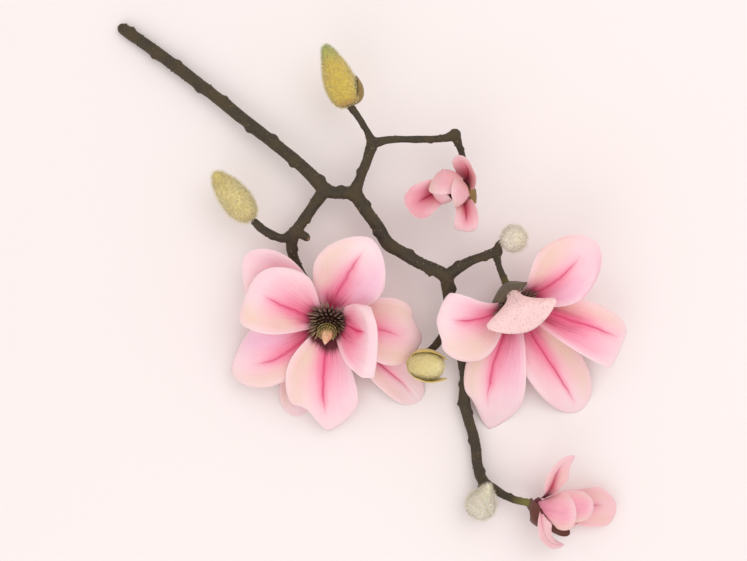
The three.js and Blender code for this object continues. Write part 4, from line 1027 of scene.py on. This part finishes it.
def whorl_carrier(hub, rows, offset):
    """Points in spiral rows round a hub's axis; a row is (height, radius, lean, count, reach)."""
    axis, first, second = axes_of(hub["way"])
    at = np.array(hub["at"], float)
    roots, ways, ups, reaches, greens = [], [], [], [], []
    for k, (height, radius, lean, count, reach) in enumerate(rows):
        tip = math.radians(lean)
        for i in range(count):
            angle = 2 * math.pi * (i + 0.38 * k + offset) / count
            out = first * math.cos(angle) + second * math.sin(angle)
            roots.append(at + axis * height + out * radius)
            ways.append(out * math.cos(tip) + axis * math.sin(tip))
            ups.append(axis * math.cos(tip) - out * math.sin(tip))
            reaches.append(reach)
            greens.append(k / (len(rows) - 1))
    mesh = bpy.data.meshes.new("roots")
    mesh.from_pydata(place(roots).tolist(), [], [])
    add_masks(mesh, {"way": ways, "up": ups, "reach": reaches, "green": greens})
    return new_object("roots", mesh)


# The branch
def draws(seed):
    """The same repeatable draws from 0 to 1 that the source of the part uses."""
    state = seed
    while True:
        state = (state * 1664525 + 1013904223) % 4294967296
        yield state / 4294967296


def measured(row):
    """Fine places along a twig's curve and the length up to each."""
    t = np.linspace(0, len(row) - 1, 60 * len(row))
    line = smooth_line(row, t)[:, :3]
    return t, np.concatenate([[0], np.cumsum(np.linalg.norm(np.diff(line, axis=0), axis=1))])


def radius_at(row, t):
    return np.interp(t, np.arange(len(row)), [station[3] for station in row])


def tube_part(row):
    """A round twig whose girth wavers a little, with rounded ends."""
    fine, length = measured(row)
    count = max(4, int(round(length[-1] / RING_STEP)))
    t = np.interp(np.linspace(0, length[-1], count + 1), length, fine)
    centre = smooth_line(row, t)[:, :3]
    radius = radius_at(row, t)
    along = unit(np.gradient(centre, axis=0))
    cap = np.minimum(np.arange(len(t)), np.arange(len(t))[::-1]) * RING_STEP / np.maximum(radius, 0.1)
    radius = radius * np.sqrt(np.clip(1 - (1 - np.clip(cap, 0, 1)) ** 2, 0.2, 1))
    first = unit(np.cross(along, [0.1, 0.2, 1]))
    second = np.cross(along, first)
    angle = 2 * math.pi * np.arange(TWIG_SIDES) / TWIG_SIDES
    out = first[:, None] * np.cos(angle)[None, :, None] + second[:, None] * np.sin(angle)[None, :, None]
    points = (centre[:, None] + out * radius[:, None, None]).reshape(-1, 3)
    for k, (spot, push) in enumerate(zip(points, out.reshape(-1, 3))):
        swell = noise.noise(Vector(spot) * 0.11) + 0.5 * noise.noise(Vector(spot) * 0.3)
        points[k] = spot + push * WOOD_WAVER * swell
    faces = grid_faces(len(t) - 1, TWIG_SIDES, closed=True)
    low, high = len(points), len(points) + 1
    top = (len(t) - 1) * TWIG_SIDES
    for j in range(TWIG_SIDES):
        k = (j + 1) % TWIG_SIDES
        faces += [(low, k, j), (high, top + j, top + k)]
    return dict(points=np.vstack([points, centre[0], centre[-1]]), faces=faces)


def knob_parts(row, draw):
    """Leaf scars on alternate sides of a twig."""
    fine, length = measured(row)
    total = length[-1]
    count = int(total // KNOB_STEP)
    made = []
    for i in range(count):
        share = (i + 0.5 + 0.3 * (next(draw) - 0.5)) / count
        spot = np.array([np.interp(share * total, length, fine)])
        centre = smooth_line(row, spot)[0, :3]
        tangent = unit(smooth_line(row, spot + 0.01)[0, :3] - centre)
        radius = float(radius_at(row, spot)[0])
        side = unit(np.array([-tangent[1], tangent[0], 0]))
        side = -side if i % 2 else side
        side = unit(np.array([side[0], side[1], 0.8 * (next(draw) - 0.3)]))
        outline = [[a * radius, b * radius] for a, b in KNOB_OUTLINE]
        made.append(turned_part(centre + side * 0.68 * radius, tangent, smooth_outline(outline, 14), 10))
    return made


def spur_part(spur):
    start, end = np.array(spur["start"], float), np.array(spur["end"], float)
    length = float(np.linalg.norm(end - start))
    radius = spur["radius"]
    outline = [[0, 0], [0.02, radius], [0.6 * length, 0.6 * radius], [length, 0.42 * radius],
               [length + 0.3, 0]]
    return turned_part(start, end - start, smooth_outline(outline, 12), 10)


def fork_part(centre, radius):
    outline = [[a * radius, b * radius] for a, b in ((-1, 0), (-0.7, 0.71), (0, 1), (0.7, 0.71), (1, 0))]
    return turned_part(centre, [0, 0, 1], smooth_outline(outline, 14), 14)


def point_values(mesh, field):
    """The places or normals of a mesh's points."""
    values = np.zeros(3 * len(mesh.vertices))
    mesh.vertices.foreach_get(field, values)
    return values.reshape(-1, 3)


def branch_piece(material):
    draw = draws(KNOB_SEED)
    parts = []
    for row in TWIGS.values():
        parts.append(tube_part(row))
        parts += knob_parts(row, draw)
        for station in (row[0], row[-1]):
            if station[3] > FORK_RADIUS and station is not TWIGS["stem"][0]:
                parts.append(fork_part(station[:3], FORK_SWELL * station[3]))
    parts += [spur_part(spur) for spur in SPURS]
    piece = new_object("branch_wood", merged("branch_wood", parts))
    remesh = piece.modifiers.new("one_wood", "REMESH")
    remesh.mode = "VOXEL"
    remesh.voxel_size = WOOD_VOXEL * MM
    soften = piece.modifiers.new("soft_forks", "SMOOTH")
    soften.factor = 0.5
    soften.iterations = 4
    depsgraph = bpy.context.evaluated_depsgraph_get()
    joined = bpy.data.meshes.new_from_object(piece.evaluated_get(depsgraph), depsgraph=depsgraph)
    piece.modifiers.clear()
    piece.data = joined
    joined.name = "branch_wood"
    joined.shade_smooth()
    where = point_values(joined, "co") / MM + ORIGIN
    rough = np.array([noise.noise(Vector(p) * 0.55) + 0.6 * noise.noise(Vector(p) * 1.3) for p in where])
    where = where + point_values(joined, "normal") * (WOOD_GRAIN * rough + WOOD_SKIN)[:, None]
    where[:, 2] = np.maximum(where[:, 2], 0)
    joined.vertices.foreach_set("co", place(where).ravel())
    young = np.zeros(len(where))
    for x, y, z, reach in GREEN_JOINTS:
        near = np.linalg.norm(where - np.array([x, y, z]), axis=1)
        young = np.maximum(young, np.clip(1.4 - near / reach, 0, 1))
    cut = np.zeros(len(where))
    stem, stub = TWIGS["stem"], TWIGS["cutStub"]
    for end, before in ((stem[0], stem[1]), (stub[-1], stub[-2])):
        from_end = where - np.array(end[:3])
        beyond = from_end @ unit(np.array(end[:3], float) - np.array(before[:3], float))
        near = np.linalg.norm(from_end, axis=1) < 1.8 * end[3]
        cut = np.maximum(cut, ease(beyond, -0.6, 0.2) * near)
    cover = np.ones(len(where))
    add_masks(joined, {"young": young, "cut": cut, "cover": cover, "growth": np.zeros_like(where)})
    joined.materials.clear()
    joined.materials.append(material)
    return piece


# Blooms and buds
def hub_part(hub):
    """A bloom's receptacle, tinted like the dark throat of its tepals: deep base colour and painted shade.
    """
    radius, below, above = hub["radius"], hub["below"], hub["above"]
    outline = [[-below, 0], [-below, 0.42 * radius], [-0.4 * below, 0.86 * radius], [0, radius],
               [above, 0.84 * radius], [above, 0]]
    part = turned_part(hub["at"], hub["way"], outline, 40)
    count = len(part["points"])
    part["along"] = np.full(count, 0.02)
    part["masks"] = {key: np.ones(count) for key in ("rim", "inner", "throat")}
    return part


def tepals_piece(name, tepals, hub, grid, material, seed):
    parts = [blade_part(row, *grid, seed + i) for i, row in enumerate(tepals)]
    return make_piece(name, [hub_part(hub)] + parts, material)


def scales_piece(name, scales, material, seed, collar=None):
    parts = [blade_part(row, *SCALE_GRID, seed + i, SCALE_PLAIN) for i, row in enumerate(scales)]
    return make_piece(name, parts + ([collar] if collar else []), material)


def collar_part(bud, outline):
    """The ring at a bud's base that its outer scales grow from."""
    base = np.array(bud["base"], float)
    part = turned_part(base, np.array(bud["tip"], float) - base, outline, 30)
    part["masks"] = {"rim": np.ones(len(part["points"]))}
    return part


def join_pieces(name, pieces):
    """Several mesh objects made one."""
    for other in bpy.context.view_layer.objects:
        other.select_set(False)
    for piece in pieces:
        piece.select_set(True)
    bpy.context.view_layer.objects.active = pieces[0]
    bpy.ops.object.join()
    whole = pieces[0]
    whole.name = name
    whole.data.name = name
    return whole


def strapped_piece(name, hub, core, rows, offset, values):
    """A core with straps in rows round the hub's axis, as one object."""
    carrier = whorl_carrier(hub, rows, offset)
    straps = grown(name + "_straps", carrier, WHORL, {"Length": MM, **values})
    bpy.data.objects.remove(carrier)
    return join_pieces(name, [make_piece(name + "_core", [core], values["Material"]), straps])


def stamens_piece(name, hub, shape, material):
    above = hub["above"] + BOSS_BASE
    rows = [(above + height, *rest) for height, *rest in STAMEN_ROWS]
    outline = [[above + height, radius] for height, radius in BOSS_OUTLINE]
    boss = turned_part(hub["at"], hub["way"], outline, 32)
    boss["masks"] = {key: np.zeros(len(boss["points"])) for key in ("ridge", "share", "green")}
    values = {"Variation": 0.22, "Seed": 3, "Shape": shape, "Material": material}
    return strapped_piece(name, hub, boss, rows, 0.1, values)


def pistil_piece(name, hub, shape, material):
    base = hub["above"] + CONE_BASE
    length, radius = CONE_LENGTH, CONE_RADIUS
    outline = [[base + share * length, width * radius] for share, width in CONE_OUTLINE]
    cone = turned_part(hub["at"], hub["way"], smooth_outline(outline, 36), 28, 0.3)
    cone["masks"] = {"share": cone["along"]}
    rows = [(base + 0.3 + 1.7 * k, 0.8 * radius, 36 + 9 * k, 24 - 4 * k, 6.2 - 0.8 * k) for k in range(5)]
    values = {"Variation": 0.15, "Seed": 5, "Shape": shape, "Material": material}
    return strapped_piece(name, hub, cone, rows, 0.25, values)


def bud_pieces(name, bud, skin, hair, shape, seed):
    """A bud's body and the hairs that grow over it."""
    base, tip = np.array(bud["base"], float), np.array(bud["tip"], float)
    way = tip - base
    length = float(np.linalg.norm(way))
    outline = [[share * length, radius] for share, radius in bud["outline"]]
    part = turned_part(base, way, smooth_outline(outline, 44), 40, 0.06, seed)
    count = len(part["points"])
    part["masks"] = {"share": part["along"], "cover": np.ones(count)}
    body = make_piece(name + "_body", [part], skin)
    add_masks(body.data, {"growth": np.tile(unit(way), (count, 1))})
    fuzz = grown(name + "_hair", body, SCATTER, {
        "Density": bud["hairs"] / MM ** 2, "Length": bud["length"] * MM, "Thickness": HAIR_GIRTH * MM,
        "Lean": bud["lean"], "Spread": HAIR_SPREAD, "Seed": seed, "Shape": shape, "Material": hair,
    })
    return [body, fuzz]


# Pieces, under the name of the node that they stand for
PIECES = {}
branch = branch_piece(bark_material())
wart = wart_shape()
branch_warts = grown("branch_warts", branch, SCATTER, {
    "Density": 0.022 / MM ** 2, "Length": 0.5 * MM, "Thickness": 0.8 * MM, "Lean": 0.0, "Spread": 0.15,
    "Seed": 11, "Shape": wart, "Material": wart_material(),
})
PIECES["branch"] = [branch, branch_warts]

fine_strap = strap_shape("stamen_strap", 0.068, 0.05, 0.34, 7)
style_strap = strap_shape("style_strap", 0.09, 0.06, 0.3, 5)
hair_spike = hair_shape()

large = tepal_material("tepal_large", LARGE_TINTS)
for side, tepals, hub, grid, material, seed in (
        ("left", LEFT_TEPALS, LEFT_HUB, LARGE_GRID, large, 10),
        ("right", RIGHT_TEPALS, RIGHT_HUB, LARGE_GRID, large, 30),
        ("top", TOP_TEPALS, TOP_HUB, SMALL_GRID, tepal_material("tepal_top", TOP_TINTS), 50),
        ("lower", LOWER_TEPALS, LOWER_HUB, SMALL_GRID, tepal_material("tepal_lower", LOWER_TINTS), 70)):
    petals = tepals_piece(f"{side}_bloom_petals", tepals, hub, grid, material, seed)
    PIECES[f"{side}_bloom_tepals"] = [petals]
stamens = stamen_material()
carpels = carpel_material()
for side, hub in (("left", LEFT_HUB), ("right", RIGHT_HUB)):
    PIECES[f"{side}_bloom_stamens"] = [stamens_piece(f"{side}_bloom_anthers", hub, fine_strap, stamens)]
    PIECES[f"{side}_bloom_pistil"] = [pistil_piece(f"{side}_bloom_carpels", hub, style_strap, carpels)]
for side, scales, tints, seed in (
        ("right", RIGHT_SCALES, ("scale_grey_brown", (112, 100, 78), (140, 84, 84), (70, 52, 42)), 90),
        ("top", TOP_SCALES, ("scale_tan", (146, 108, 42), (130, 96, 46), (104, 76, 34)), 92),
        ("lower", LOWER_SCALES, ("scale_maroon", (106, 56, 42), (112, 38, 42), (84, 28, 32)), 95)):
    scale = scales_piece(f"{side}_bloom_scale", scales, scale_material(*tints), seed)
    PIECES[f"{side}_bloom_bud_scale"] = [scale]
for number, (name, bud) in enumerate(BUDS.items()):
    base, tip, root, dot = bud["tints"]
    skin = fuzz_material(name + "_skin", base, tip, root, dot)
    hair = fuzz_material(name + "_fuzz", base, tip, base, dot, hair=True)
    PIECES[name] = bud_pieces(name, bud, skin, hair, hair_spike, 20 + number)
olive = scale_material("scale_olive", (158, 126, 48), (134, 108, 42), (112, 88, 34))
# The inner face of bud D's scales is painted lighter than the outer, as painted light against the shade
# there.
yellow = scale_material("scale_yellow", (236, 212, 120), (250, 232, 156), (214, 186, 96))
collar_a = collar_part(BUDS["bud_a"], [[-1, 0], [-1, 3], [0.5, 5.4], [0.5, 0]])
collar_d = collar_part(BUDS["bud_d"], [[-1.6, 0], [-1.6, 3.8], [2.4, 7.6], [2.4, 0]])
PIECES["bud_a_bract"] = [scales_piece("bud_a_outer", BUD_A_BRACT, olive, 97, collar_a)]
PIECES["bud_d_scales"] = [scales_piece("bud_d_outer", BUD_D_SCALES, yellow, 98, collar_d)]

SLOTS = {"branch": "bark", "stamens": "stamen", "pistil": "pistil", "tepals": "petal",
         "bud_scale": "bud_scale", "bud_a_bract": "yellow_bud", "bud_d_scales": "yellow_bud"}
for helper in (wart, fine_strap, style_strap, hair_spike):
    bpy.data.objects.remove(helper)
for node_name, pieces in PIECES.items():
    slot = BUDS[node_name]["slot"] if node_name in BUDS else None
    slot = slot or next(value for key, value in SLOTS.items() if node_name.endswith(key))
    for piece in pieces:
        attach(piece, "root")
    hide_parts(node_name)


# Table, lights and camera
FLOOR_HALF = 3.0
floor_mesh = bpy.data.meshes.new("pale_floor")
floor_corners = [(x * FLOOR_HALF, y * FLOOR_HALF, 0) for x, y in ((-1, -1), (1, -1), (1, 1), (-1, 1))]
floor_mesh.from_pydata(floor_corners, [], [(0, 1, 2, 3)])
floor_mesh.materials.append(floor_material())
floor = new_object("pale_floor", floor_mesh)


def area_light(name, at, target, size, power, shade):
    light = bpy.data.lights.new(name, "AREA")
    light.shape = "DISK"
    light.size = size
    light.energy = power
    light.color = shade
    lamp = new_object(name, light)
    lamp.location = at
    lamp.rotation_euler = (Vector(target) - Vector(at)).to_track_quat("-Z", "Y").to_euler()


area_light("soft_key", (0.5, 0.5, 1.6), (0, 0, 0), 1.3, 5.4, (1.0, 0.98, 0.97))
area_light("soft_fill", (-0.5, -1.2, 1.4), (0, -0.1, 0), 1.6, 4.5, (1.0, 0.975, 0.985))
world = bpy.data.worlds.new("pale_room")
world.use_nodes = True
background = world.node_tree.nodes["Background"]
background.inputs["Color"].default_value = (1.0, 0.97, 0.96, 1)
background.inputs["Strength"].default_value = 0.85
bpy.context.scene.world = world
bpy.context.scene.view_settings.view_transform = "Standard"

PHOTO_WIDTH = 747
MM_PER_PIXEL = 0.70
CAMERA_HEIGHT = 1.0
SENSOR = 36.0
lens = bpy.data.cameras.new("photo_camera")
lens.sensor_width = SENSOR
lens.lens = SENSOR * CAMERA_HEIGHT / (PHOTO_WIDTH * MM_PER_PIXEL * MM)
lens.clip_end = 20
camera = new_object("photo_camera", lens)
camera.location = (*place([0, 0, 0])[:2], CAMERA_HEIGHT)
bpy.context.scene.camera = camera
